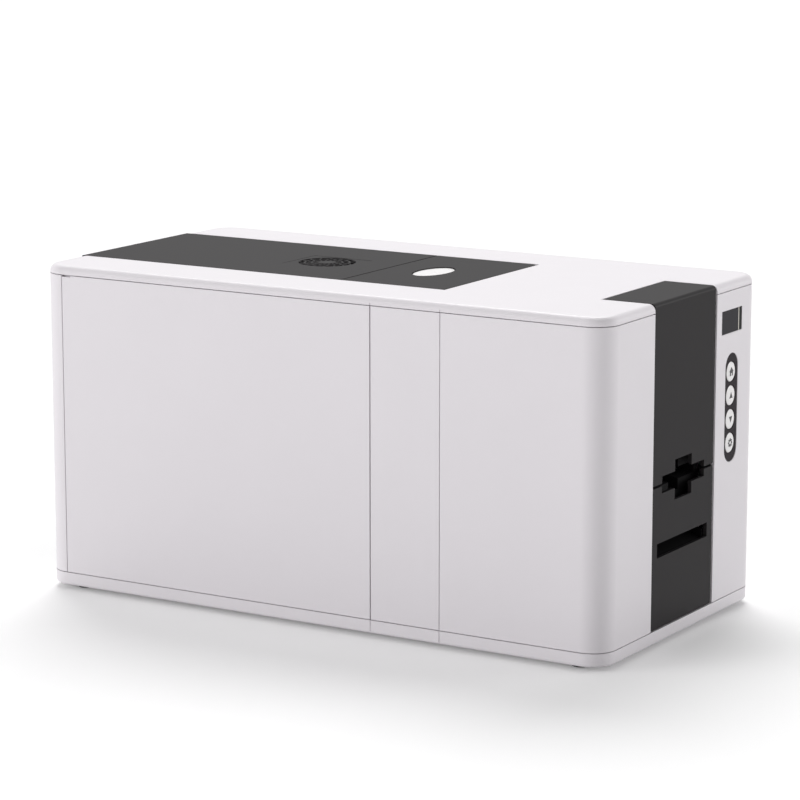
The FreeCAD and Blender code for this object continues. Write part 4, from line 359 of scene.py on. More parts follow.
class BoardSizes(bpy.types.PropertyGroup):
    """Main board and power supply"""
    board: size("Board", "Thickness of the board", 1.6)
    header_width: size("Header width", "Width of a pin header", 6.0)
    header_length: size("Header length", "Length of a pin header", 14.0)
    hollow_width: size("Hollow width", "Width of a header's hollow", 3.8)
    hollow_length: size("Hollow length", "Length of a header's hollow", 12.0)
    hollow: size("Hollow", "Depth of a header's dark middle", 3.0)
    hollow_proud: size("Hollow rise", "Rise of the dark middle over the rim", 0.01)
    pin_pitch: size("Pin pitch", "Step between pins", 2.0)
    pin_height: size("Pin height", "Height of the pins", 8.6)
    pin_radius: size("Pin radius", "Radius of a pin", 0.3)
    part: size("Part", "Half the length of a small part", 1.0)
    part_height: size("Part height", "Height of a small part", 0.7)
    supply_wall: size("Supply wall", "Sheet of the power supply's case", 1.0)
    holes_across: count("Holes across", "Holes across the supply's lid", 9)
    holes_along: count("Holes along", "Holes along the supply's lid", 22)


class StudioSettings(bpy.types.PropertyGroup):
    """Camera, lamps and floor"""
    azimuth: turn("Azimuth", "Camera's turn round the printer", -58.722)
    elevation: turn("Elevation", "Camera's angle over the floor", 11.085)
    distance: size("Distance", "Camera to its aim", 2067.9)
    aim_across: size("Aim across", "Aim to the right of the printer's middle", 0.2, -1.0)
    aim_along: size("Aim along", "Aim behind the printer's middle", -1.9, -1.0)
    aim_height: size("Aim height", "Height of the point that the camera aims at", 127.6)
    lens: number("Lens", "Focal length for the film's width", 145.17, min=1.0, unit="CAMERA")
    ambient: number("Ambient", "Surrounding light, as a share of plain light", 0.38, min=0.0)
    side_light: number("Side light", "Light on the long side, as a share of plain light", 0.41, min=0.0)
    front_light: number("Front light", "Light on the front, as a share of plain light", 0.33, min=0.0)
    rear_light: number("Rear light", "Light from above the rear, as a share of plain light", 0.58, min=0.0)
    near_light: number("Near light", "Power of the near lamp by the rear of the long side", 2.35, min=0.0)
    side_turn: turn("Side turn", "Side lamp's turn round the printer", -134)
    front_turn: turn("Front turn", "Front lamp's turn round the printer", 44)
    rear_turn: turn("Rear turn", "Rear lamp's turn round the printer", 122)
    near_turn: turn("Near turn", "Near lamp's turn round the printer", -135)
    low_lamps: turn("Low lamps", "Angle of the side and front lamps over the floor", 10)
    rear_raise: turn("Rear raise", "Angle of the rear lamp over the floor", 52)
    near_raise: turn("Near raise", "Angle of the near lamp over the floor", 20)
    softness: turn("Softness", "Width of the lamps in the sky, which blurs their shadows", 36)
    near_size: size("Near lamp size", "Side of the near square lamp", 1000.0)
    near_distance: size("Near lamp distance", "Near lamp to the printer", 1500.0)
    glow: number("Glow", "Light that the camera sees from the floor besides what falls on it", 0.14,
                 min=0.0)
    floor_radius: size("Floor radius", "Radius of the floor", 40000.0)
    floor_grain: size("Floor grain", "Size of the floor's faint blotches", 800.0)


# Shading

class Field:
    """A value that varies over a surface; arithmetic on it adds Math nodes."""

    def __init__(self, shader, socket):
        self.shader = shader
        self.socket = socket

    def maths(self, operation, first, second=0.0):
        return self.shader.node("ShaderNodeMath", {"operation": operation}, {0: first, 1: second})

    def __add__(self, other):
        return self.maths("ADD", self, other)

    def __radd__(self, other):
        return self.maths("ADD", other, self)

    def __sub__(self, other):
        return self.maths("SUBTRACT", self, other)

    def __rsub__(self, other):
        return self.maths("SUBTRACT", other, self)

    def __mul__(self, other):
        return self.maths("MULTIPLY", self, other)

    def __rmul__(self, other):
        return self.maths("MULTIPLY", other, self)

    def __gt__(self, other):
        return self.maths("GREATER_THAN", self, other)

    def __lt__(self, other):
        return self.maths("LESS_THAN", self, other)

    def __or__(self, other):
        return self.maths("MAXIMUM", self, other)


class Shader:
    """The nodes of one material or of the world."""

    def __init__(self, owner):
        owner.use_nodes = True
        self.owner = owner
        self.tree = owner.node_tree
        self.tree.nodes.clear()

    def node(self, kind, settings=None, sockets=None, output=0):
        """Adds a node: its settings first, then a value or a link for each socket."""
        made = self.tree.nodes.new(kind)
        for key, value in (settings or {}).items():
            setattr(made, key, value)
        for key, value in (sockets or {}).items():
            if isinstance(value, Field):
                self.tree.links.new(value.socket, made.inputs[key])
            else:
                made.inputs[key].default_value = value
        return Field(self, made.outputs[output]) if made.outputs else None

    def place(self, stretch=(1.0, 1.0, 1.0)):
        """The point on the part, in metres, pulled along each axis."""
        point = self.node("ShaderNodeTexCoord", output="Object")
        return self.node("ShaderNodeVectorMath", {"operation": "MULTIPLY"}, {0: point, 1: stretch})

    def noise(self, grain, detail=2.0, stretch=(1.0, 1.0, 1.0), distortion=0.0):
        """Soft noise whose blotches are about one grain across."""
        return self.node("ShaderNodeTexNoise", None,
                         {"Vector": self.place(stretch), "Scale": 1.0 / grain, "Detail": detail,
                          "Distortion": distortion})

    def cells(self, grain, output="Distance"):
        """Crystal-like cells about one grain across."""
        return self.node("ShaderNodeTexVoronoi", None,
                         {"Vector": self.place(), "Scale": 1.0 / grain}, output)

    def mix(self, factor, first, second):
        """One colour turning into another."""
        return self.node("ShaderNodeMix", {"data_type": "RGBA"},
                         {0: factor, 6: first, 7: second}, 2)

    def bump(self, height, distance):
        """A surface relief of the given depth."""
        return self.node("ShaderNodeBump", None, {"Height": height, "Distance": distance, "Strength": 1.0})

    def surface(self, colour, roughness, normal=None, constants=None):
        """Ends the material in a surface shader."""
        sockets = {"Base Color": colour, "Roughness": roughness}
        if normal is not None:
            sockets["Normal"] = normal
        sockets.update(constants or {})
        body = self.node("ShaderNodeBsdfPrincipled", None, sockets)
        self.node("ShaderNodeOutputMaterial", None, {"Surface": body})
        return self.owner


def toned(colour, factor):
    """A colour made lighter or darker, with its alpha."""
    return tuple(min(1.0, value * factor) for value in colour) + (1.0,)


def material(name):
    """A new empty material's shader."""
    return Shader(bpy.data.materials.new(name))


def moulded(name, colour, roughness, grain, depth, spread=0.03, constants=None):
    """Moulded plastic: an even colour with faint flow, a fine eroded grain and handling marks."""
    shader = material(name)
    flow = shader.noise(55 * MM, 3.0)
    handling = shader.noise(14 * MM, 4.0, distortion=0.4)
    grains = shader.noise(grain, 3.0)
    tone = shader.mix(flow, toned(colour, 1 - spread), toned(colour, 1 + spread))
    rough = roughness + 0.10 * (handling - 0.5) + 0.06 * (grains - 0.5)
    return shader.surface(tone, rough, shader.bump(grains, depth), constants)


def rubber(name, colour, roughness, grain, depth):
    """Dull rubber with a dusty bloom and a fine skin."""
    shader = material(name)
    bloom = shader.noise(6 * MM, 4.0, distortion=0.6)
    skin = shader.noise(grain, 3.0)
    tone = shader.mix(bloom, toned(colour, 0.82), toned(colour, 1.25))
    rough = roughness + 0.14 * (bloom - 0.5)
    return shader.surface(tone, rough, shader.bump(skin, depth), {"Specular IOR Level": 0.35})


def galvanised(name, colour):
    """Galvanised sheet with large pale spangles."""
    shader = material(name)
    spangle = shader.cells(7 * MM, output="Color")
    grey = shader.node("ShaderNodeRGBToBW", None, {"Color": spangle})
    smear = shader.noise(2.5 * MM, 3.0, (1.0, 0.25, 1.0))
    tone = shader.mix(grey * 0.7 + smear * 0.3, toned(colour, 0.80), toned(colour, 1.12))
    rough = 0.30 + 0.16 * grey + 0.08 * (smear - 0.5)
    return shader.surface(tone, rough, shader.bump(smear, 0.01 * MM), {"Metallic": 1.0})


def drawn_metal(name, colour, roughness, lines, stretch, depth=0.008 * MM):
    """Metal with fine working lines along one direction."""
    shader = material(name)
    scratches = shader.noise(lines, 4.0, stretch)
    clouds = shader.noise(9 * MM, 2.0)
    tone = shader.mix(0.6 * scratches + 0.4 * clouds, toned(colour, 0.78), toned(colour, 1.1))
    rough = roughness + 0.12 * (scratches - 0.5) + 0.10 * (clouds - 0.5)
    return shader.surface(tone, rough, shader.bump(scratches, depth), {"Metallic": 1.0})


def solder_mask(name, mask, copper):
    """A green board with tracks and small holes under its lacquer."""
    shader = material(name)
    tracks = shader.node("ShaderNodeTexBrick", {"offset": 0.37, "offset_frequency": 2, "squash": 0.6},
                         {"Vector": shader.place(), "Scale": 1 / (9 * MM),
                          "Mortar Size": 0.045, "Mortar Smooth": 0.1, "Bias": 0.0,
                          "Brick Width": 0.9, "Row Height": 0.22}, "Fac")
    holes = shader.cells(3.4 * MM) < 0.14
    tone = shader.mix(tracks | holes, toned(mask, 1.0), toned(copper, 1.0))
    return shader.surface(tone, 0.34 + 0.1 * holes, shader.bump(tracks, 0.03 * MM),
                          {"Coat Weight": 0.3, "Coat Roughness": 0.12})


def wound_film(name, colour):
    """A tight roll of coated film, with fine edges of the turns along its length."""
    shader = material(name)
    turns = shader.noise(0.5 * MM, 3.0, (1.0, 0.08, 0.08))
    band = shader.noise(11 * MM, 1.0)
    tone = shader.mix(band, toned(colour, 0.5), toned(colour, 1.7))
    return shader.surface(tone, 0.16 + 0.1 * turns, shader.bump(turns, 0.01 * MM),
                          {"Coat Weight": 0.4, "Coat Roughness": 0.05})


def glass(name, colour, roughness):
    """Dark flush glass, faintly smeared."""
    shader = material(name)
    smear = shader.noise(5 * MM, 3.0, (1.0, 1.0, 0.5), 0.5)
    tone = shader.mix(smear, toned(colour, 0.88), toned(colour, 1.15))
    return shader.surface(tone, roughness + 0.06 * (smear - 0.5), None,
                          {"Specular IOR Level": 0.0, "Coat Weight": 0.3, "Coat Roughness": 0.06})


def make_finishes(colours):
    """Makes every material of the printer."""
    moulded("satin_white", colours.white_shell, 0.42, 0.45 * MM, 0.012 * MM, 0.012)
    moulded("satin_black", colours.black_shell, 0.52, 0.35 * MM, 0.014 * MM, 0.05,
            {"Specular IOR Level": 0.0, "Coat Weight": 0.24, "Coat Roughness": 0.3})
    moulded("deep_black", colours.dark_plastic, 0.50, 0.40 * MM, 0.015 * MM, 0.06,
            {"Specular IOR Level": 0.15})
    # Painted shade: a darker, less glossy black for the card guides, standing in for the shade inside the
    # slots
    moulded("tunnel_painted_shade_black", colours.tunnel, 0.6, 0.40 * MM, 0.015 * MM, 0.08,
            {"Specular IOR Level": 0.05})
    moulded("plain_grey", colours.grey_plastic, 0.45, 0.5 * MM, 0.02 * MM, 0.04)
    moulded("bezel_grey", colours.bezel, 0.42, 0.35 * MM, 0.01 * MM, 0.04,
            {"Specular IOR Level": 0.0, "Coat Weight": 0.15, "Coat Roughness": 0.3})
    moulded("key_white", colours.key, 0.30, 0.6 * MM, 0.004 * MM, 0.01, {"Coat Weight": 0.15})
    moulded("sign_ink", colours.sign, 0.35, 0.2 * MM, 0.004 * MM, 0.05)
    moulded("ceramic_white", colours.ceramic, 0.32, 0.3 * MM, 0.006 * MM, 0.03)
    glass("screen_grey", colours.screen, 0.16)
    glass("screen_black", colours.glass, 0.10)
    solder_mask("green_board", colours.board, colours.copper)
    rubber("foot_rubber_skin", colours.foot, 0.72, 0.5 * MM, 0.03 * MM)
    rubber("roller_rubber_skin", colours.roller, 0.58, 0.25 * MM, 0.02 * MM)
    rubber("cleaner_rubber_skin", colours.cleaner, 0.34, 0.8 * MM, 0.01 * MM)
    rubber("belt_rubber_skin", colours.belt, 0.66, 0.3 * MM, 0.02 * MM)
    wound_film("ribbon_wound", colours.film)
    galvanised("spangled_sheet", colours.steel)
    drawn_metal("ground_steel", colours.shaft, 0.24, 0.25 * MM, (6.0, 0.3, 0.3))
    drawn_metal("plated_nickel", colours.nickel, 0.28, 0.4 * MM, (1.0, 0.3, 1.0))
    drawn_metal("plated_gold", colours.gold, 0.24, 0.4 * MM, (1.0, 0.3, 1.0))
    drawn_metal("brushed_aluminium", colours.aluminium, 0.34, 0.3 * MM, (0.15, 1.0, 3.0))
    drawn_metal("motor_sheets", colours.motor, 0.45, 0.3 * MM, (8.0, 0.4, 0.4))


# Finish of a node that differs from its slot's: the card guides get a darker black, painted shade for the
# hollow behind the slots. Then the finishes of the outer and inner slots
OWN_FINISHES = {"card_exit_guide": "tunnel_painted_shade_black", "lower_card_chute": "tunnel_painted_shade_black"}
SHELL_FINISHES = {"white_shell": "satin_white", "black_shell": "satin_black"}
INNER_FINISHES = {
    "dark_plastic": "deep_black",
    "grey_plastic": "plain_grey",
    "bezel_plastic": "bezel_grey",
    "button_white": "key_white",
    "display_glass": "screen_black",
    "circuit_board": "green_board",
    "foot_rubber": "foot_rubber_skin",
    "roller_rubber": "roller_rubber_skin",
    "cleaning_rubber": "cleaner_rubber_skin",
    "belt_rubber": "belt_rubber_skin",
    "ribbon_film": "ribbon_wound",
    "screw_steel": "ground_steel",
    "shaft_steel": "ground_steel",
    "sheet_steel": "spangled_sheet",
    "socket_metal": "plated_nickel",
    "motor_black": "motor_sheets",
    "head_aluminium": "brushed_aluminium",
}


# Outlines that give a radius for each angle

def toothed(radius, depth, teeth):
    """A wheel's teeth: full over half of each pitch, and cut down over the other half."""
    return lambda angle: radius - (depth if math.cos(teeth * angle) < 0 else 0.0)


def rectangle(half_x, half_y):
    """A rectangle's edge."""
    return lambda angle: min(half_x / max(abs(math.cos(angle)), NEAR_ZERO),
                             half_y / max(abs(math.sin(angle)), NEAR_ZERO))


def rounded_square(half, corner_power=9):
    """A square with round corners, rounder at a lower power."""
    def radius(angle):
        spread = abs(math.cos(angle)) ** corner_power + abs(math.sin(angle)) ** corner_power
        return half / spread ** (1 / corner_power)
    return radius


def cross(width, reach, share=1.0):
    """A cross with arms of half a width, shrunk to a share."""
    def radius(angle):
        folded = abs((angle + math.pi / 4) % (math.pi / 2) - math.pi / 4)
        return min(reach / math.cos(folded), width / max(math.sin(folded), NEAR_ZERO)) * share
    return radius


# Meshes

def lathe(bm, axis, centre, profile, material_index=0, steps=48, widths=(1.0, 1.0), closed=False):
    """Turns (travel, radius) points about an axis. A radius of zero is a point on the axis, and a
    radius may be a function of the angle."""
    across, up, along = AXES[axis]
    rings = []
    for travel, radius in profile:
        start = Vector(centre) + along * travel
        if not callable(radius) and radius == 0:
            rings.append([bm.verts.new(start)])
            continue
        ring = []
        for step in range(steps):
            angle = 2 * math.pi * step / steps
            reach = radius(angle) if callable(radius) else radius
            ring.append(bm.verts.new(start + across * (reach * widths[0] * math.cos(angle))
                                     + up * (reach * widths[1] * math.sin(angle))))
        rings.append(ring)
    pairs = list(zip(rings, rings[1:]))
    if closed:
        pairs.append((rings[-1], rings[0]))
    for first, second in pairs:
        for step in range(steps):
            after = (step + 1) % steps
            corners = dict.fromkeys([first[step % len(first)], first[after % len(first)],
                                     second[after % len(second)], second[step % len(second)]])
            if len(corners) > 2:
                bm.faces.new(list(corners)).material_index = material_index


def rod(bm, axis, centre, start, end, radius, material_index=0, steps=32):
    """A solid bar, round unless its radius changes with the angle, between two places on an axis."""
    lathe(bm, axis, centre, [(start, 0), (start, radius), (end, radius), (end, 0)], material_index, steps)


def tube(bm, axis, centre, start, end, inner, outer, material_index=0, steps=32):
    """A bar with a bore."""
    lathe(bm, axis, centre, [(start, inner), (start, outer), (end, outer), (end, inner)],
          material_index, steps, closed=True)


def loft(bm, sections, material_index=0):
    """Joins closed sections of equal count into one solid with flat ends."""
    rings = [[bm.verts.new(point) for point in section] for section in sections]
    faces = [bm.faces.new(rings[0]), bm.faces.new(list(reversed(rings[-1])))]
    total = len(rings[0])
    for first, second in zip(rings, rings[1:]):
        for index in range(total):
            after = (index + 1) % total
            faces.append(bm.faces.new([first[index], first[after], second[after], second[index]]))
    for face in faces:
        face.material_index = material_index


def prism(bm, axis, outline, low, high, material_index=0):
    """Extrudes an outline of (across, up) points along an axis, between two places on it."""
    across, up, along = AXES[axis]
    sections = [[across * x + up * y + along * travel for x, y in outline] for travel in (low, high)]
    loft(bm, sections, material_index)


def block(bm, low, high, material_index=0):
    """A box between two corners."""
    outline = [(low[0], low[1]), (high[0], low[1]), (high[0], high[1]), (low[0], high[1])]
    prism(bm, "Z", outline, low[2], high[2], material_index)


def tile(bm, x, y, half_x, half_y, low, high, material_index=0):
    """A box about an upright line, between two heights."""
    block(bm, (x - half_x, y - half_y, low), (x + half_x, y + half_y, high), material_index)


def middle(name):
    """The middle of a node's box."""
    low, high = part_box(name)
    return (low + high) / 2


def spindle(name):
    """The point where a node's own shaft, which runs across, meets the printer's middle plane."""
    centre = middle(name)
    return Vector((0, centre.y, centre.z))


def smoothing_nodes(angle):
    """A geometry node group that shades smooth and keeps edges over an angle sharp."""
    name = "smooth_under_{:.0f}".format(math.degrees(angle))
    if name in bpy.data.node_groups:
        return bpy.data.node_groups[name]
    group = bpy.data.node_groups.new(name, "GeometryNodeTree")
    for way in ("INPUT", "OUTPUT"):
        group.interface.new_socket("Geometry", in_out=way, socket_type="NodeSocketGeometry")
    entry, faces, edges, bend, limit, leave = (group.nodes.new(kind) for kind in (
        "NodeGroupInput", "GeometryNodeSetShadeSmooth", "GeometryNodeSetShadeSmooth",
        "GeometryNodeInputMeshEdgeAngle", "FunctionNodeCompare", "NodeGroupOutput"))
    faces.domain = "FACE"
    edges.domain = "EDGE"
    limit.operation = "LESS_EQUAL"
    limit.inputs["B"].default_value = angle
    for source, target in ((entry.outputs[0], faces.inputs["Geometry"]),
                           (faces.outputs[0], edges.inputs["Geometry"]),
                           (bend.outputs["Unsigned Angle"], limit.inputs["A"]),
                           (limit.outputs[0], edges.inputs["Shade Smooth"]),
                           (edges.outputs[0], leave.inputs[0])):
        group.links.new(source, target)
    return group


def round_edges(piece, width, crease):
    """Rounds the edges that are sharper than the crease angle, and shades the rest smooth."""
    if width:
        rounding = piece.modifiers.new("rounding", "BEVEL")
        rounding.width = width
        rounding.segments = 2
        rounding.limit_method = "ANGLE"
        rounding.angle_limit = crease
    piece.modifiers.new("smoothing", "NODES").node_group = smoothing_nodes(crease)
    piece.modifiers.new("weighting", "WEIGHTED_NORMAL").keep_sharp = True


def soften(node, sizes, width):
    """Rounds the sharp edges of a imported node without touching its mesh."""
    node.modifiers.new("weld", "WELD").merge_threshold = sizes.weld
    flat = node.modifiers.new("flat", "DECIMATE")
    flat.decimate_type = "DISSOLVE"
    flat.angle_limit = sizes.flatness
    round_edges(node, width, sizes.crease)


def add_piece(name, bm, body, finishes, replaced=(), edge=0.0):
    """Makes a named piece from a mesh, rounds its edges and sets it on a body."""
    bmesh.ops.recalc_face_normals(bm, faces=bm.faces)
    mesh = bpy.data.meshes.new(name)
    bm.to_mesh(mesh)
    bm.free()
    piece = bpy.data.objects.new(name, mesh)
    bpy.context.scene.collection.objects.link(piece)
    for finish in finishes:
        mesh.materials.append(bpy.data.materials[finish])
    for face in mesh.polygons:
        face.use_smooth = True
    round_edges(piece, edge * MM, PIECE_CREASE)
    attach(piece, body)
    if replaced:
        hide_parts(*replaced)


# Operators

class CARDPRINTER_OT_finishes(bpy.types.Operator):
    """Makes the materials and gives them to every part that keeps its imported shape"""
    bl_idname = "cardprinter.finishes"
    bl_label = "Finishes and edges"

    def execute(self, context):
        sizes = context.scene.printer_shells
        make_finishes(context.scene.printer_colours)
        for name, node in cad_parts.items():
            slot = node.material_slots[0].material.name
            outer = slot in SHELL_FINISHES
            finish = OWN_FINISHES.get(name) or SHELL_FINISHES.get(slot) or INNER_FINISHES[slot]
            node.material_slots[0].material = bpy.data.materials[finish]
            soften(node, sizes, sizes.shell_edge if outer else sizes.inner_edge)
        return {"FINISHED"}


class CARDPRINTER_OT_keys(bpy.types.Operator):
    """Four domed keys, each with its dark inlaid sign"""
    bl_idname = "cardprinter.keys"
    bl_label = "Keys"

    def execute(self, context):
        sizes = context.scene.printer_keys
        for name in KEY_NAMES:
            low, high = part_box(name)
            depth = high.y - low.y
            flange = (high.x - low.x) / 2
            cap = flange - sizes.flange_step
            face = cap - sizes.rim
            collar = depth - sizes.stem - sizes.flange
            profile = [(sizes.dome * (step / CURVE_STEPS) ** 2, face * step / CURVE_STEPS)
                       for step in range(CURVE_STEPS + 1)]
            for step in range(1, RIM_STEPS + 1):
                bend = math.pi / 2 * step / RIM_STEPS
                profile.append((sizes.dome + sizes.rim * (1 - math.cos(bend)),
                                face + sizes.rim * math.sin(bend)))
            profile += [(collar, cap), (collar, flange), (depth - sizes.stem, flange),
                        (depth - sizes.stem, sizes.stem_radius), (depth, sizes.stem_radius), (depth, 0)]
            centre = Vector(((low.x + high.x) / 2, low.y, (low.z + high.z) / 2))
            bm = bmesh.new()
            lathe(bm, "Y", centre, profile)
            self.add_sign(bm, name, centre, sizes)
            add_piece(name + "_cap", bm, name, ("key_white", "sign_ink"), (name,))
        return {"FINISHED"}

    def add_sign(self, bm, name, centre, sizes):
        """A thin inlay: the outline of a sign, or for the last key a toothed wheel."""
        half = sizes.sign_size
        if name in SIGN_SHARES:
            outline = [(centre.z + z * half, centre.x + x * half) for x, z in SIGN_SHARES[name]]
            prism(bm, "Y", outline, centre.y - sizes.sign_rise, centre.y + sizes.dome, 1)
        else:
            outer, depth, inner = (part * half for part in WHEEL_SHARES)
            tube(bm, "Y", centre, -sizes.sign_rise, sizes.dome, inner,
                 toothed(outer, depth, WHEEL_TEETH), 1, 8 * WHEEL_TEETH)


class CARDPRINTER_OT_display(bpy.types.Operator):
    """The flush display: a grey screen, a light line and a black bar before a black flange"""
    bl_idname = "cardprinter.display"
    bl_label = "Display"

    def execute(self, context):
        sizes = context.scene.printer_keys
        low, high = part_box("display_window")
        edge = sizes.window_flange
        left, right = low.x + edge, high.x - edge
        seat = high.y - sizes.window_back
        width = right - left
        stops = [left, left + width * sizes.screen_share,
                 left + width * (sizes.screen_share + sizes.line_share), right]
        bm = bmesh.new()
        for index, (start, end) in enumerate(zip(stops, stops[1:])):
            block(bm, (start, low.y, low.z + edge), (end, seat, high.z - edge), index)
        block(bm, (low.x, seat, low.z), high, 2)
        add_piece("display_pane", bm, "printer",
                  ("screen_grey", "plated_nickel", "screen_black"), ("display_window",))
        return {"FINISHED"}


class CARDPRINTER_OT_pad(bpy.types.Operator):
    """The white oval push pad in the front lid"""
    bl_idname = "cardprinter.pad"
    bl_label = "Push pad"

    def execute(self, context):
        sizes = context.scene.printer_keys
        low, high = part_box("lid_push_pad")
        half = ((high.x - low.x) / 2 - sizes.pad_margin, (high.y - low.y) / 2 - sizes.pad_margin)
        height = high.z - low.z
        roll = sizes.pad_crown / half[1]
        flange = (half[1] + sizes.pad_margin) / half[1]
        profile = [(0, 0), (0, flange), (sizes.pad_flange, flange), (sizes.pad_flange, 1.0)]
        for step in range(CURVE_STEPS + 1):
            bend = math.pi / 2 * step / CURVE_STEPS
            profile.append((height - sizes.pad_crown * (1 + PAD_ROLL_SHARE * (1 - math.sin(bend))),
                            1.0 - roll * (1 - math.cos(bend))))
        for step in range(CURVE_STEPS - 1, -1, -1):
            part = step / CURVE_STEPS
            profile.append((height - sizes.pad_crown * part ** 2, (1.0 - roll) * part))
        bm = bmesh.new()
        lathe(bm, "Z", ((low.x + high.x) / 2, (low.y + high.y) / 2, low.z), profile, 0, 96, half)
        add_piece("push_pad_cap", bm, "lid_pad", ("key_white",), ("lid_push_pad",))
        return {"FINISHED"}


class CARDPRINTER_OT_grille(bpy.types.Operator):
    """The vent insert: rings of slots between slanted, swirled ribs"""
    bl_idname = "cardprinter.grille"
    bl_label = "Vent grille"

    def execute(self, context):
        sizes = context.scene.printer_vents
        low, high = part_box("vent_grille")
        centre = Vector(((low.x + high.x) / 2, (low.y + high.y) / 2, 0))
        edge = rectangle((high.x - low.x) / 2, (high.y - low.y) / 2)
        chamfer = sizes.rib / 3
        bm = bmesh.new()
        lathe(bm, "Z", centre,
              [(low.z, edge), (high.z, edge), (high.z, sizes.outer_radius + chamfer),
               (high.z - chamfer, sizes.outer_radius), (low.z, sizes.outer_radius)],
              0, 160, closed=True)
        for ring in range(1, sizes.rings + 1):
            outer = sizes.outer_radius - (ring - 1) * sizes.ring_pitch - sizes.slot
            inner = outer - (sizes.ring_pitch - sizes.slot)
            if ring == sizes.rings:
                profile = [(low.z, 0), (low.z, outer), (high.z - chamfer, outer),
                           (high.z, outer - chamfer), (high.z, 0)]
            else:
                profile = [(low.z, outer), (high.z - chamfer, outer), (high.z, outer - chamfer),
                           (high.z, inner + chamfer), (high.z - chamfer, inner), (low.z, inner)]
            lathe(bm, "Z", centre, profile, 0, 96, closed=ring < sizes.rings)
        for rib in range(sizes.ribs):
            self.add_rib(bm, sizes, centre, 2 * math.pi * rib / sizes.ribs, low.z, high.z)
        add_piece("grille_insert", bm, "rear_lid", ("satin_black",), ("vent_grille",))
        return {"FINISHED"}

    def add_rib(self, bm, sizes, centre, turned, low, high):
        """One rib from the middle disc to the frame, leaning as it goes down."""
        start = sizes.outer_radius - sizes.rings * sizes.ring_pitch
        sections = []
        for step in range(SWEEP_STEPS + 1):
            part = step / SWEEP_STEPS
            angle = turned + sizes.swirl * part
            out = Vector((math.cos(angle), math.sin(angle), 0))
            side = Vector((-out.y, out.x, 0))
            spot = centre + out * (start + (sizes.outer_radius + sizes.rib / 2 - start) * part)
            top = spot + Vector((0, 0, high - sizes.rib / 6))
            foot = spot + side * sizes.lean + Vector((0, 0, low))
            half = side * (sizes.rib / 2)
            sections.append([top - half, top + half, foot + half, foot - half])
        loft(bm, sections)


class CARDPRINTER_OT_fan(bpy.types.Operator):
    """The fan rotor under the grille"""
    bl_idname = "cardprinter.fan"
    bl_label = "Fan rotor"

    def execute(self, context):
        sizes = context.scene.printer_vents
        low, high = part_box("fan_rotor")
        centre = middle("fan_frame")
        tip = min(high.x - centre.x, centre.x - low.x, high.y - centre.y, centre.y - low.y)
        bm = bmesh.new()
        hub = sizes.hub_radius
        lathe(bm, "Z", (centre.x, centre.y, 0),
              [(low.z, sizes.axle_radius), (low.z, hub), (high.z - sizes.blade, hub),
               (high.z, hub - sizes.blade), (high.z, sizes.axle_radius)], 0, 48, closed=True)
        for blade in range(sizes.blades):
            self.add_blade(bm, sizes, (centre.x, centre.y, (low.z + high.z) / 2), tip, high.z - low.z,
                           2 * math.pi * blade / sizes.blades)
        add_piece("fan_wheel", bm, "fan_rotor", ("deep_black",), ("fan_rotor",), 0.1)
        return {"FINISHED"}

    def add_blade(self, bm, sizes, centre, tip, depth, turned):
        """One blade, which sweeps back and flattens towards its tip."""
        root = sizes.hub_radius * BLADE_ROOT_SHARE
        sections = []
        for step in range(SWEEP_STEPS + 1):
            part = step / SWEEP_STEPS
            angle = turned + sizes.sweep * part * part
            pitch = sizes.root_pitch + (sizes.tip_pitch - sizes.root_pitch) * part
            out = Vector((math.cos(angle), math.sin(angle), 0))
            chord = Vector((-out.y, out.x, 0)) * math.cos(pitch) + Vector((0, 0, math.sin(pitch)))
            reach = chord * (depth / 2 / math.sin(pitch) * BLADE_DEPTH_SHARE)
            normal = out.cross(chord) * (sizes.blade / 2)
            spot = Vector(centre) + out * (root + (tip - root) * part)
            sections.append([spot - reach, spot + normal, spot + reach, spot - normal])
        loft(bm, sections)


class CARDPRINTER_OT_feet(bpy.types.Operator):
    """Four rubber feet with a rolled edge and a ring groove underneath"""
    bl_idname = "cardprinter.feet"
    bl_label = "Feet"

    def execute(self, context):
        sizes = context.scene.printer_hardware
        low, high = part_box("rubber_feet")
        radius, height, stem = sizes.foot_radius, sizes.foot_height, high.z - low.z
        profile = [(height * travel, radius * reach) for travel, reach in FOOT_SHARES]
        profile += [(height, sizes.foot_stem), (stem, sizes.foot_stem), (stem, 0)]
        bm = bmesh.new()
        for x in (low.x + radius, high.x - radius):
            for y in (low.y + radius, high.y - radius):
                lathe(bm, "Z", (x, y, low.z), profile)
        add_piece("feet", bm, "printer", ("foot_rubber_skin",), ("rubber_feet",), 0.2)
        return {"FINISHED"}


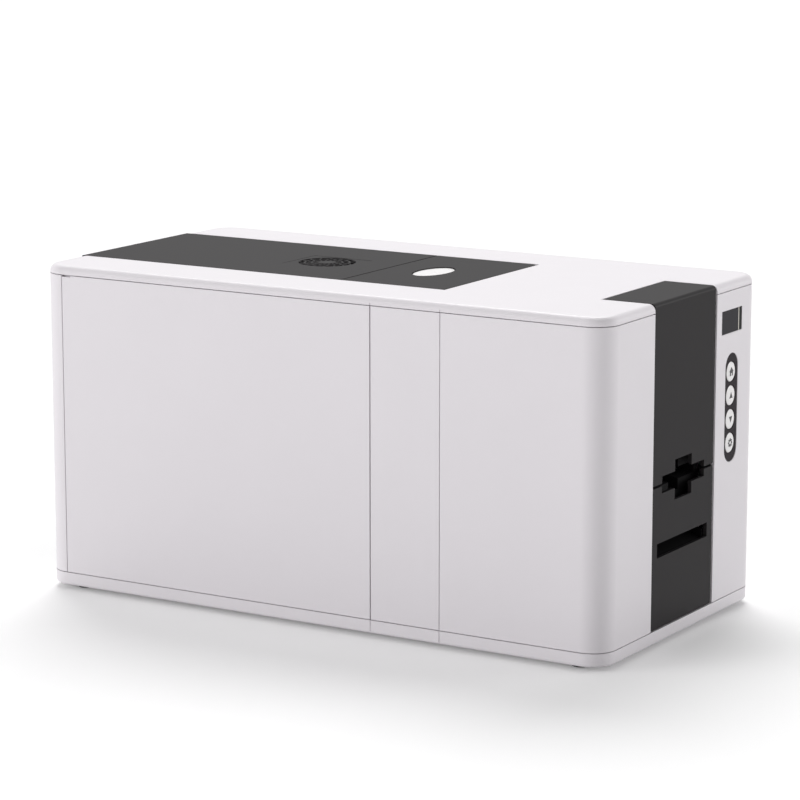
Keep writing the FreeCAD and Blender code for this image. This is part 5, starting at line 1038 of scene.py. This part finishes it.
class CARDPRINTER_OT_screws(bpy.types.Operator):
    """The case screws, with their cross recesses and threads"""
    bl_idname = "cardprinter.screws"
    bl_label = "Case screws"

    def execute(self, context):
        sizes = context.scene.printer_hardware
        low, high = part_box("case_screws")
        side = high.x - sizes.head_radius
        bm = bmesh.new()
        for x in (-side, side):
            for z in (sizes.low_screw_z, high.z - sizes.head_radius):
                self.add_screw(bm, "Y", (x, high.y, z), 1, sizes)
        for x in (-sizes.base_screw_x, sizes.base_screw_x):
            for y in (-sizes.base_screw_y, sizes.base_screw_y):
                self.add_screw(bm, "Z", (x, y, low.z), -1, sizes)
        add_piece("screw_set", bm, "printer", ("ground_steel",), ("case_screws",))
        return {"FINISHED"}

    def add_screw(self, bm, axis, centre, outward, sizes):
        """A round-headed screw whose head looks outward (1 or -1) along an axis."""
        head, height = sizes.head_radius, sizes.head_height
        shank, pitch = sizes.shank_radius, sizes.thread_pitch
        width, reach = sizes.recess_width, sizes.recess_reach
        profile = [(sizes.recess, 0), (sizes.recess, cross(width, reach, RECESS_FLOOR_SHARE)),
                   (height * RECESS_RIM_SHARE, cross(width, reach))]
        profile += [(height * depth, head * spread) for depth, spread in SCREW_HEAD_SHARES]
        profile += [(height, shank)]
        travel = height
        while travel + pitch < sizes.screw_length:
            profile += [(travel + pitch / 2, shank * THREAD_SHARE), (travel + pitch, shank)]
            travel += pitch
        profile += [(sizes.screw_length, 0)]
        lathe(bm, axis, centre, [(-outward * depth, radius) for depth, radius in profile])


class CARDPRINTER_OT_sockets(bpy.types.Operator):
    """Metal prongs, socket tongues and contacts, and the signs on the rocker"""
    bl_idname = "cardprinter.sockets"
    bl_label = "Sockets and switch"

    def execute(self, context):
        sizes = context.scene.printer_hardware
        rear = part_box("rear_panel")[1].y
        self.add_prongs(sizes, rear)
        self.add_data_tongue(sizes, rear)
        self.add_network_contacts(sizes, rear)
        self.add_rocker_signs(sizes)
        return {"FINISHED"}

    def add_prongs(self, sizes, rear):
        """Three flat prongs in the power inlet, with blunt points."""
        half_x, half_z = sizes.prong_width / 2, sizes.prong_height / 2
        tip, base = rear - sizes.prong_tip, rear - sizes.prong_base
        bm = bmesh.new()
        for index in (-1, 0, 1):
            x = sizes.inlet_x + index * sizes.prong_pitch
            z = sizes.socket_z + (sizes.prong_drop if index == 0 else -sizes.prong_drop)
            loft(bm, [[Vector((x + a * half_x * scale, y, z + b * half_z * (scale + 1) / 2))
                       for a, b in ((-1, -1), (1, -1), (1, 1), (-1, 1))]
                      for y, scale in ((base, 1.0), (tip - half_x, 1.0), (tip, PRONG_POINT_SHARE))])
        add_piece("inlet_prongs", bm, "printer", ("plated_nickel",), (), 0.1)

    def add_data_tongue(self, sizes, rear):
        """The pale tongue of the data socket, with its four contacts."""
        low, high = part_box("usb_socket")
        centre = (low + high) / 2
        reach = (high.x - low.x) * TONGUE_SHARE
        rise, side = reach / 2, reach * TONGUE_CONTACT_SHARE
        root, tip, top = rear - sizes.tongue_root, rear - sizes.tongue_tip, centre.z + rise
        bm = bmesh.new()
        block(bm, (centre.x - reach, root, centre.z - rise), (centre.x + reach, tip, top))
        for index in range(TONGUE_CONTACTS):
            x = centre.x + (index - (TONGUE_CONTACTS - 1) / 2) * rise
            block(bm, (x - side, root, top - sizes.plating), (x + side, tip - side, top + sizes.plating), 1)
        add_piece("data_tongue", bm, "printer", ("ceramic_white", "plated_gold"), (), 0.08)

    def add_network_contacts(self, sizes, rear):
        """Eight gold springs in the network socket."""
        centre = middle("network_socket")
        wire = sizes.spring_pitch * SPRING_SHARE
        bm = bmesh.new()
        for index in range(SPRINGS):
            x = centre.x + (index - (SPRINGS - 1) / 2) * sizes.spring_pitch
            loft(bm, [[Vector((x + a * wire, rear - depth, centre.z - drop + b * wire))
                       for a, b in ((-1, -1), (1, -1), (1, 1), (-1, 1))]
                      for depth, drop in SPRING_BENDS])
        add_piece("network_contacts", bm, "printer", ("plated_gold",))

    def add_rocker_signs(self, sizes):
        """The plain line and ring of on and off, laid on the hollow face of the rocker."""
        low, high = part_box("power_rocker")
        centre = (low + high) / 2
        reach = high.z - centre.z
        rise, stroke = reach * ROCKER_RISE_SHARE, reach * ROCKER_STROKE_SHARE
        inner, outer = (stroke * strokes for strokes in RING_STROKES)
        bm = bmesh.new()
        block(bm, (centre.x - stroke, low.y, centre.z + rise - outer),
              (centre.x + stroke, high.y, centre.z + rise + outer))
        tube(bm, "Y", (centre.x, 0, centre.z - rise), low.y, high.y, inner, outer)
        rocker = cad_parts["power_rocker"].data
        face = BVHTree.FromPolygons([vertex.co for vertex in rocker.vertices],
                                    [polygon.vertices for polygon in rocker.polygons])
        for vertex in bm.verts:
            behind = Vector((vertex.co.x, high.y + sizes.sign_root, vertex.co.z))
            place = face.ray_cast(behind, Vector((0, -1, 0)))[0]
            proud = vertex.co.y > centre.y
            vertex.co.y = place.y + (sizes.sign_proud if proud else -sizes.sign_root)
        add_piece("rocker_signs", bm, "power_rocker", ("key_white",))


class CARDPRINTER_OT_rollers(bpy.types.Operator):
    """Steel shafts with rubber sleeves, toothed pulleys and clips"""
    bl_idname = "cardprinter.rollers"
    bl_label = "Rollers"

    def execute(self, context):
        sizes = context.scene.printer_drive
        for name in DRIVEN_ROLLERS:
            length = sizes.pick_sleeve if name == "pick_roller" else sizes.sleeve
            self.add_roller(name, sizes, length, "roller_rubber_skin", "roller_rubber", sizes.grooves)
        self.add_roller("cleaning_roller", sizes, sizes.sleeve, "cleaner_rubber_skin", "cleaning_rubber", 0)
        low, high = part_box("motor_pulley")
        bm = bmesh.new()
        rod(bm, "X", spindle("motor_pulley"), low.x, high.x, sizes.motor_shaft_radius)
        self.add_pulley(bm, sizes, spindle("motor_pulley"), 0)
        add_piece("motor_pulley_wheel", bm, "motor_pulley", ("ground_steel",),
                  ("motor_pulley",), 0.12)
        return {"FINISHED"}

    def add_roller(self, name, sizes, length, finish, slot, grooves):
        """One roller: its shaft with a clip, its sleeve, and a pulley where it has grooves and is driven."""
        low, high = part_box(name)
        centre = spindle(name)
        bar, sleeve = sizes.shaft_radius, sizes.sleeve_radius
        half, roll = length / 2, sizes.sleeve_edge
        clip, clip_end = low.x + sizes.clip_inset, low.x + sizes.clip_inset + sizes.clip
        bm = bmesh.new()
        lathe(bm, "X", centre, [(low.x, 0), (low.x, bar), (clip, bar), (clip, sizes.clip_radius),
                                (clip_end, sizes.clip_radius), (clip_end, bar), (high.x, bar), (high.x, 0)])
        profile = [(-half, bar), (-half, sleeve - roll), (-half + roll, sleeve)]
        for groove in range(1, grooves + 1):
            x = -half + length * groove / (grooves + 1)
            profile += [(x - roll, sleeve), (x - roll / 2, sleeve - roll), (x + roll / 2, sleeve - roll),
                        (x + roll, sleeve)]
        profile += [(half - roll, sleeve), (half, sleeve - roll), (half, bar)]
        lathe(bm, "X", centre, profile, 1, 64)
        if grooves:
            self.add_pulley(bm, sizes, centre, 2)
        add_piece(name + "_turned", bm, name, ("ground_steel", finish, "deep_black"), (name,), 0.1)

    def add_pulley(self, bm, sizes, centre, material_index):
        """A toothed drum between two rims."""
        start, end = sizes.pulley_start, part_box("motor_pulley")[1].x
        bar, rim, edge = sizes.pulley_bore, sizes.rim, sizes.rim_radius
        drum = toothed(sizes.pulley_radius, sizes.tooth, sizes.teeth)
        lathe(bm, "X", centre, [(start, bar), (start, edge), (start + rim, edge), (start + rim, drum),
                                (end - rim, drum), (end - rim, edge), (end, edge), (end, bar)],
              material_index, 6 * sizes.teeth, closed=True)


class CARDPRINTER_OT_motors(bpy.types.Operator):
    """Three step motors with pressed laminations, end caps, screws and pillars"""
    bl_idname = "cardprinter.motors"
    bl_label = "Motors"

    def execute(self, context):
        sizes = context.scene.printer_drive
        self.add_motor("feed_motor", sizes, 1, 0.0)
        self.add_motor("ribbon_motor", sizes, -1, sizes.pillar)
        self.add_motor("flipper_motor", sizes, 1, sizes.pillar)
        return {"FINISHED"}

    def add_motor(self, name, sizes, side, pillar):
        """One motor; side says to which end along X its boss and shaft point."""
        low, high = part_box(name)
        centre = spindle(name)
        nose = max(sizes.boss_height, pillar)
        start, end = (low.x, high.x - nose) if side > 0 else (low.x + nose, high.x)
        wide, core, groove = (rounded_square(sizes.motor_size / 2 * part, power)
                              for part, power in MOTOR_OUTLINE_SHARES)
        cap = sizes.motor_cap
        seat = cap * CORE_SEAT_SHARE
        bm = bmesh.new()
        rod(bm, "X", centre, start, start + cap, wide, 0, 72)
        rod(bm, "X", centre, end - cap, end, wide, 0, 72)
        profile = [(start + seat, 0), (start + seat, core)]
        step = (end - start - 2 * cap) / sizes.sheets
        for sheet in range(sizes.sheets):
            x = start + cap + step * (sheet + 0.5)
            gap = step * SHEET_GAP_SHARE
            profile += [(x - gap, core), (x - gap, groove), (x + gap, groove), (x + gap, core)]
        profile += [(end - seat, core), (end - seat, 0)]
        lathe(bm, "X", centre, profile, 1, 72)
        face, back = (end, start) if side > 0 else (start, end)
        tube(bm, "X", centre, face - side * cap / 2, face + side * sizes.boss_height,
             sizes.boss_bore, sizes.motor_boss, 0, 64)
        for a in (-1, 1):
            for b in (-1, 1):
                spot = centre + Vector((0, a, b)) * (sizes.pillar_spacing / 2)
                self.add_corner(bm, sizes, spot, back, face, side, pillar)
        add_piece(name + "_case", bm, "printer",
                  ("brushed_aluminium", "motor_sheets", "ground_steel"), (name,), 0.25)

    def add_corner(self, bm, sizes, spot, back, face, side, pillar):
        """A screw in the back of a motor, and the pillar before it."""
        head, bore = sizes.motor_screw, sizes.motor_screw * MOTOR_SCREW_BORE_SHARE
        proud = back - side * sizes.motor_screw_proud
        floor = back + side * head * MOTOR_SCREW_DEPTH_SHARE
        lathe(bm, "X", spot, [(back + side * head, 0), (back + side * head, head), (proud, head),
                              (proud, bore), (floor, bore), (floor, 0)], 2, 24)
        if pillar:
            rod(bm, "X", spot, face - side * head, face + side * pillar, sizes.pillar_radius, 2, 6)


class CARDPRINTER_OT_print_head(bpy.types.Operator):
    """The print head: a finned block with its heater on a pale strip, and two plugs"""
    bl_idname = "cardprinter.print_head"
    bl_label = "Print head"

    def execute(self, context):
        sizes = context.scene.printer_drive
        low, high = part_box("print_head")
        y = (low.y + high.y) / 2
        tip, seat, line = sizes.head_tip / 2, low.z + sizes.head_block, sizes.heater
        sink, inset = sizes.head_sink, sizes.strip_inset
        bm = bmesh.new()
        prism(bm, "X", [(y - tip, low.z + line), (y + tip, low.z + line), (high.y, low.z + sizes.head_tip),
                        (high.y, seat), (low.y, seat), (low.y, low.z + sizes.head_tip)], low.x, high.x)
        block(bm, (low.x + inset, y - tip, low.z), (high.x - inset, y + tip, low.z + sizes.strip), 1)
        rod(bm, "X", (0, y, low.z + line), low.x + 2 * inset, high.x - 2 * inset, line, 2, 16)
        for fin in range(sizes.fins):
            x = (fin - (sizes.fins - 1) / 2) * sizes.fin_pitch
            tile(bm, x, y, sizes.fin / 2, (high.y - low.y) / 2, seat - sink, high.z)
        for x in (low.x + sizes.plug_inset, high.x - sizes.plug_inset):
            tile(bm, x, high.y - sizes.plug_depth / 2, sizes.plug_width / 2, sizes.plug_depth / 2,
                 seat - sink, seat + sizes.plug_height, 1)
        add_piece("print_head_block", bm, "print_head",
                  ("brushed_aluminium", "ceramic_white", "screen_black"), ("print_head",), 0.15)
        return {"FINISHED"}


class CARDPRINTER_OT_ribbon(bpy.types.Operator):
    """The two wound spools and the film between them"""
    bl_idname = "cardprinter.ribbon"
    bl_label = "Ribbon"

    def execute(self, context):
        sizes = context.scene.printer_drive
        self.add_spool("ribbon_takeup_spool", sizes, sizes.takeup_radius)
        self.add_spool("ribbon_supply_spool", sizes, sizes.supply_radius)
        self.add_span(sizes)
        return {"FINISHED"}

    def add_spool(self, name, sizes, roll):
        """One spool: its ends, its toothed and stepped flanges, and the wound film."""
        low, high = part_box(name)
        centre = spindle(name)
        half, rim, end, edge = sizes.spool / 2, sizes.spool_flange, sizes.journal_radius, sizes.spool_radius
        bm = bmesh.new()
        rod(bm, "X", centre, low.x, high.x, end, 1)
        bore = end * SPOOL_BORE_SHARE
        step_outer, step_inner, hub_outer, hub_inner = (
            edge * STEP_SHARES[0], edge * STEP_SHARES[1], end * HUB_SHARES[0], end * HUB_SHARES[1])
        for side in (-1, 1):
            outer, inner = side * half, side * (half - rim)
            step = outer - side * rim * STEP_DEPTH_SHARE
            wheel = toothed(edge, edge * SPOOL_TOOTH_SHARE, SPOOL_TEETH)
            lathe(bm, "X", centre,
                  [(inner, bore), (inner, wheel), (outer, wheel), (outer, step_outer), (step, step_inner),
                   (step, hub_outer), (outer, hub_inner), (outer, bore)], 1, 6 * SPOOL_TEETH, closed=True)
        film = half - rim * FILM_SINK_SHARE
        profile = [(-film, bore), (-film, roll)]
        for ridge in range(1, FILM_RIDGES):
            profile.append((-film + 2 * film * ridge / FILM_RIDGES,
                            roll - (sizes.ridge if ridge % 2 else 0.0)))
        profile += [(film, roll), (film, bore)]
        lathe(bm, "X", centre, profile, 0, 64)
        add_piece(name + "_wound", bm, name, ("ribbon_wound", "plain_grey"), (name,), 0.1)

    def add_span(self, sizes):
        """The film from the full roll, round the cassette bars and under the head, to the empty roll."""
        supply, takeup = middle("ribbon_supply_spool"), middle("ribbon_takeup_spool")
        head = middle("print_head")
        cassette_low, cassette_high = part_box("ribbon_cassette")
        tip = sizes.head_tip / 2 + sizes.tip_margin
        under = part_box("print_head")[0].z - sizes.head_gap
        guide = cassette_low.z - sizes.guide_gap
        far, dip = tip + sizes.film_run, guide - sizes.film_dip
        path = [(supply.y + sizes.supply_radius, supply.z), (cassette_high.y - sizes.bar_inset, guide),
                (head.y + far, dip), (head.y + tip, under), (head.y - tip, under), (head.y - far, dip),
                (cassette_low.y + sizes.bar_inset, guide), (takeup.y - sizes.takeup_radius, takeup.z)]
        half = sizes.spool / 2 - sizes.spool_flange * SPAN_EDGE_SHARE
        bm = bmesh.new()
        loft(bm, [[Vector((x, y, z + thick)) for x, thick in
                   ((-half, 0), (half, 0), (half, sizes.film), (-half, sizes.film))] for y, z in path])
        add_piece("ribbon_span", bm, "printer", ("ribbon_wound",))


class CARDPRINTER_OT_board(bpy.types.Operator):
    """The main board with its chips, plugs, capacitors and small parts"""
    bl_idname = "cardprinter.board"
    bl_label = "Main board"

    def execute(self, context):
        sizes = context.scene.printer_boards
        low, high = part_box("main_board")
        top = low.z + sizes.board
        bm = bmesh.new()
        block(bm, low, (high.x, high.y, top))

        def spot(across, along):
            return low.x + (high.x - low.x) * across, low.y + (high.y - low.y) * along

        for place, (side, height, legs) in zip(CHIP_PLACE_SHARES, CHIPS):
            self.add_chip(bm, *spot(*place), top, side, height, legs)
        for along in PLUG_PLACE_SHARES:
            self.add_plug(bm, sizes, *spot(PLUG_ACROSS_SHARE, along), top, high.z)
        profile = [(height * MM, radius * MM) for height, radius in CAN_PROFILE]
        for place in CAN_PLACE_SHARES:
            lathe(bm, "Z", (*spot(*place), top), profile, 4, 32)
        for index in range(SMALL_PARTS):
            across, along = (index * GOLDEN_SHARE) % 1.0, index / SMALL_PARTS
            x, y = spot(SMALL_FIELD_SHARES[0] + SMALL_FIELD_SHARES[1] * across,
                        SMALL_FIELD_SHARES[2] + SMALL_FIELD_SHARES[3] * along)
            half = (sizes.part, sizes.part / 2) if index % 2 else (sizes.part / 2, sizes.part)
            tile(bm, x, y, *half, top, top + sizes.part_height, 2 if index % 3 else 1)
        add_piece("main_board_parts", bm, "printer",
                  ("green_board", "deep_black", "plated_nickel", "ceramic_white", "brushed_aluminium"),
                  ("main_board",), 0.08)
        return {"FINISHED"}

    def add_chip(self, bm, x, y, top, side, height, legs):
        """A square chip with a row of legs on each side."""
        half, foot = side / 2, side / legs * LEG_SHARE
        reach = half * LEG_REACH_SHARE / 2
        tile(bm, x, y, half, half, top, top + height, 1)
        for leg in range(legs):
            travel = (leg - (legs - 1) / 2) * side * LEG_ROW_SHARE / legs
            for sign in (-1, 1):
                out = sign * (half + reach)
                tile(bm, x + travel, y + out, foot, reach, top, top + height * LEG_HEIGHT_SHARE, 2)
                tile(bm, x + out, y + travel, reach, foot, top, top + height * LEG_HEIGHT_SHARE, 2)

    def add_plug(self, bm, sizes, x, y, top, rim):
        """A pale pin header with a dark hollow and a row of pins."""
        tile(bm, x, y, sizes.header_width / 2, sizes.header_length / 2, top, rim, 3)
        tile(bm, x, y, sizes.hollow_width / 2, sizes.hollow_length / 2, rim - sizes.hollow,
             rim + sizes.hollow_proud, 1)
        for pin in range(HEADER_PINS):
            rod(bm, "Z", (x, y + (pin - (HEADER_PINS - 1) / 2) * sizes.pin_pitch, top), 0, sizes.pin_height,
                sizes.pin_radius, 2, 8)


class CARDPRINTER_OT_supply(bpy.types.Operator):
    """The power supply in its perforated sheet case"""
    bl_idname = "cardprinter.supply"
    bl_label = "Power supply"

    def execute(self, context):
        sizes = context.scene.printer_boards
        low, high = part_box("power_supply")
        wall = sizes.supply_wall
        inset = Vector((wall, wall, wall))
        bm = bmesh.new()
        block(bm, low + inset, high - inset, 1)
        block(bm, low, (high.x, high.y, low.z + wall))
        for x in (low.x, high.x - wall):
            block(bm, (x, low.y, low.z), (x + wall, high.y, high.z))
        for y in (low.y, high.y - wall):
            block(bm, (low.x, y, low.z), (high.x, y + wall, high.z))
        cell_x, cell_y = (high.x - low.x) / sizes.holes_across, (high.y - low.y) / sizes.holes_along
        edge = rectangle(cell_x / 2, cell_y / 2)
        radius = min(cell_x, cell_y) * HOLE_SHARE
        for column in range(sizes.holes_across):
            for row in range(sizes.holes_along):
                spot = (low.x + cell_x * (column + 0.5), low.y + cell_y * (row + 0.5), high.z - wall)
                lathe(bm, "Z", spot, [(0, edge), (wall, edge), (wall, radius), (0, radius)], 0, 16,
                      closed=True)
        add_piece("supply_case", bm, "printer", ("spangled_sheet", "deep_black"),
                  ("power_supply",), 0.15)
        return {"FINISHED"}


class CARDPRINTER_OT_studio(bpy.types.Operator):
    """Pale floor, soft lamps, surrounding light and the camera"""
    bl_idname = "cardprinter.studio"
    bl_label = "Studio"

    def execute(self, context):
        scene = context.scene
        settings = scene.printer_studio
        self.add_camera(scene, settings)
        self.add_surroundings(scene, settings)
        self.add_floor(scene, settings)
        # The side and near lamps aren't mirrored, or they would turn the top white.
        for name, turned, raised, power, mirrored in (
                ("side_lamp", settings.side_turn, settings.low_lamps, settings.side_light, False),
                ("front_lamp", settings.front_turn, settings.low_lamps, settings.front_light, True),
                ("rear_lamp", settings.rear_turn, settings.rear_raise, settings.rear_light, True)):
            light = bpy.data.lights.new(name, "SUN")
            light.angle = settings.softness
            light.energy = math.pi * power
            self.add_lamp(scene, settings, light, turned, raised, mirrored)
        light = bpy.data.lights.new("near_lamp", "AREA")
        light.shape = "SQUARE"
        light.size = settings.near_size
        light.energy = settings.near_light
        self.add_lamp(scene, settings, light, settings.near_turn, settings.near_raise, False)
        scene.view_settings.view_transform = "Standard"
        return {"FINISHED"}

    def aim(self, scene, thing, centre, azimuth, elevation, distance):
        """Sets a lamp or camera at a distance from a point and faces it; azimuth 0 is before the front."""
        way = Vector((math.sin(azimuth) * math.cos(elevation), -math.cos(azimuth) * math.cos(elevation),
                      math.sin(elevation)))
        thing.location = centre + way * distance
        thing.rotation_mode = "QUATERNION"
        thing.rotation_quaternion = (-way).to_track_quat("-Z", "Y")
        scene.collection.objects.link(thing)

    def add_lamp(self, scene, settings, light, turned, raised, mirrored):
        """One lamp; where it isn't mirrored, it lights matt surfaces only."""
        lamp = bpy.data.objects.new(light.name, light)
        lamp.visible_glossy = mirrored
        self.aim(scene, lamp, Vector((0, 0, settings.aim_height)), turned, raised, settings.near_distance)

    def add_camera(self, scene, settings):
        """The camera, at the photograph's angle."""
        lens = bpy.data.cameras.new("camera")
        lens.sensor_width = FILM_WIDTH
        lens.lens = settings.lens
        lens.clip_end = FAR_LIMIT
        camera = bpy.data.objects.new("camera", lens)
        centre = Vector((settings.aim_across, settings.aim_along, settings.aim_height))
        self.aim(scene, camera, centre, settings.azimuth, settings.elevation, settings.distance)
        scene.camera = camera

    def seen_plainly(self, shader):
        """True for rays from the camera, a reflection or glass, which see the plain background."""
        path = shader.node("ShaderNodeLightPath")
        outputs = path.socket.node.outputs
        camera, glossy, clear = (Field(shader, outputs[name]) for name in
                                 ("Is Camera Ray", "Is Glossy Ray", "Is Transmission Ray"))
        return camera | glossy | clear

    def add_surroundings(self, scene, settings):
        """The world: soft light on the printer, and white where it is seen."""
        world = bpy.data.worlds.new("surroundings")
        scene.world = world
        shader = Shader(world)
        soft = shader.node("ShaderNodeBackground", None,
                           {"Color": SURROUNDING_TINT, "Strength": settings.ambient})
        plain = shader.node("ShaderNodeBackground", None, {"Color": WHITE, "Strength": 1.0})
        both = shader.node("ShaderNodeMixShader", None, {0: self.seen_plainly(shader), 1: soft, 2: plain})
        shader.node("ShaderNodeOutputWorld", None, {"Surface": both})

    def add_floor(self, scene, settings):
        """A pale round floor, which the camera sees a little lighter than its lit shade."""
        colour = scene.printer_colours.floor
        shader = material("pale_floor")
        tone = shader.mix(shader.noise(settings.floor_grain), toned(colour, 0.995), toned(colour, 1.0))
        lit = shader.node("ShaderNodeBsdfPrincipled", None,
                          {"Base Color": tone, "Roughness": 0.9, "Specular IOR Level": 0.0})
        glow = shader.node("ShaderNodeEmission", None, {"Color": WHITE, "Strength": settings.glow})
        glowing = shader.node("ShaderNodeAddShader", None, {0: lit, 1: glow})
        both = shader.node("ShaderNodeMixShader", None, {0: self.seen_plainly(shader), 1: lit, 2: glowing})
        shader.node("ShaderNodeOutputMaterial", None, {"Surface": both})
        bm = bmesh.new()
        bmesh.ops.create_circle(bm, cap_ends=True, segments=96, radius=settings.floor_radius)
        mesh = bpy.data.meshes.new("floor")
        bm.to_mesh(mesh)
        bm.free()
        mesh.materials.append(shader.owner)
        floor = bpy.data.objects.new("floor", mesh)
        scene.collection.objects.link(floor)


class CARDPRINTER_PT_steps(bpy.types.Panel):
    """The steps that dress the printer"""
    bl_idname = "CARDPRINTER_PT_steps"
    bl_label = "Card Printer"
    bl_space_type = "VIEW_3D"
    bl_region_type = "UI"
    bl_category = "Card Printer"

    def draw(self, context):
        for step in STEPS:
            self.layout.operator(step.bl_idname)


PROPERTY_GROUPS = {
    "printer_colours": PrinterColours,
    "printer_shells": ShellSizes,
    "printer_keys": KeySizes,
    "printer_vents": VentSizes,
    "printer_hardware": HardwareSizes,
    "printer_drive": DriveSizes,
    "printer_boards": BoardSizes,
    "printer_studio": StudioSettings,
}

STEPS = (
    CARDPRINTER_OT_finishes,
    CARDPRINTER_OT_keys,
    CARDPRINTER_OT_display,
    CARDPRINTER_OT_pad,
    CARDPRINTER_OT_grille,
    CARDPRINTER_OT_fan,
    CARDPRINTER_OT_feet,
    CARDPRINTER_OT_screws,
    CARDPRINTER_OT_sockets,
    CARDPRINTER_OT_rollers,
    CARDPRINTER_OT_motors,
    CARDPRINTER_OT_print_head,
    CARDPRINTER_OT_ribbon,
    CARDPRINTER_OT_board,
    CARDPRINTER_OT_supply,
    CARDPRINTER_OT_studio,
)


def register():
    for group in PROPERTY_GROUPS.values():
        bpy.utils.register_class(group)
    for name, group in PROPERTY_GROUPS.items():
        setattr(bpy.types.Scene, name, bpy.props.PointerProperty(type=group))
    for step in STEPS:
        bpy.utils.register_class(step)
    bpy.utils.register_class(CARDPRINTER_PT_steps)


def unregister():
    bpy.utils.unregister_class(CARDPRINTER_PT_steps)
    for step in reversed(STEPS):
        bpy.utils.unregister_class(step)
    for name in PROPERTY_GROUPS:
        delattr(bpy.types.Scene, name)
    for group in PROPERTY_GROUPS.values():
        bpy.utils.unregister_class(group)


def main():
    """Runs every step in order."""
    register()
    for step in STEPS:
        family, name = step.bl_idname.split(".")
        getattr(getattr(bpy.ops, family), name)()


if __name__ == "__main__":
    main()
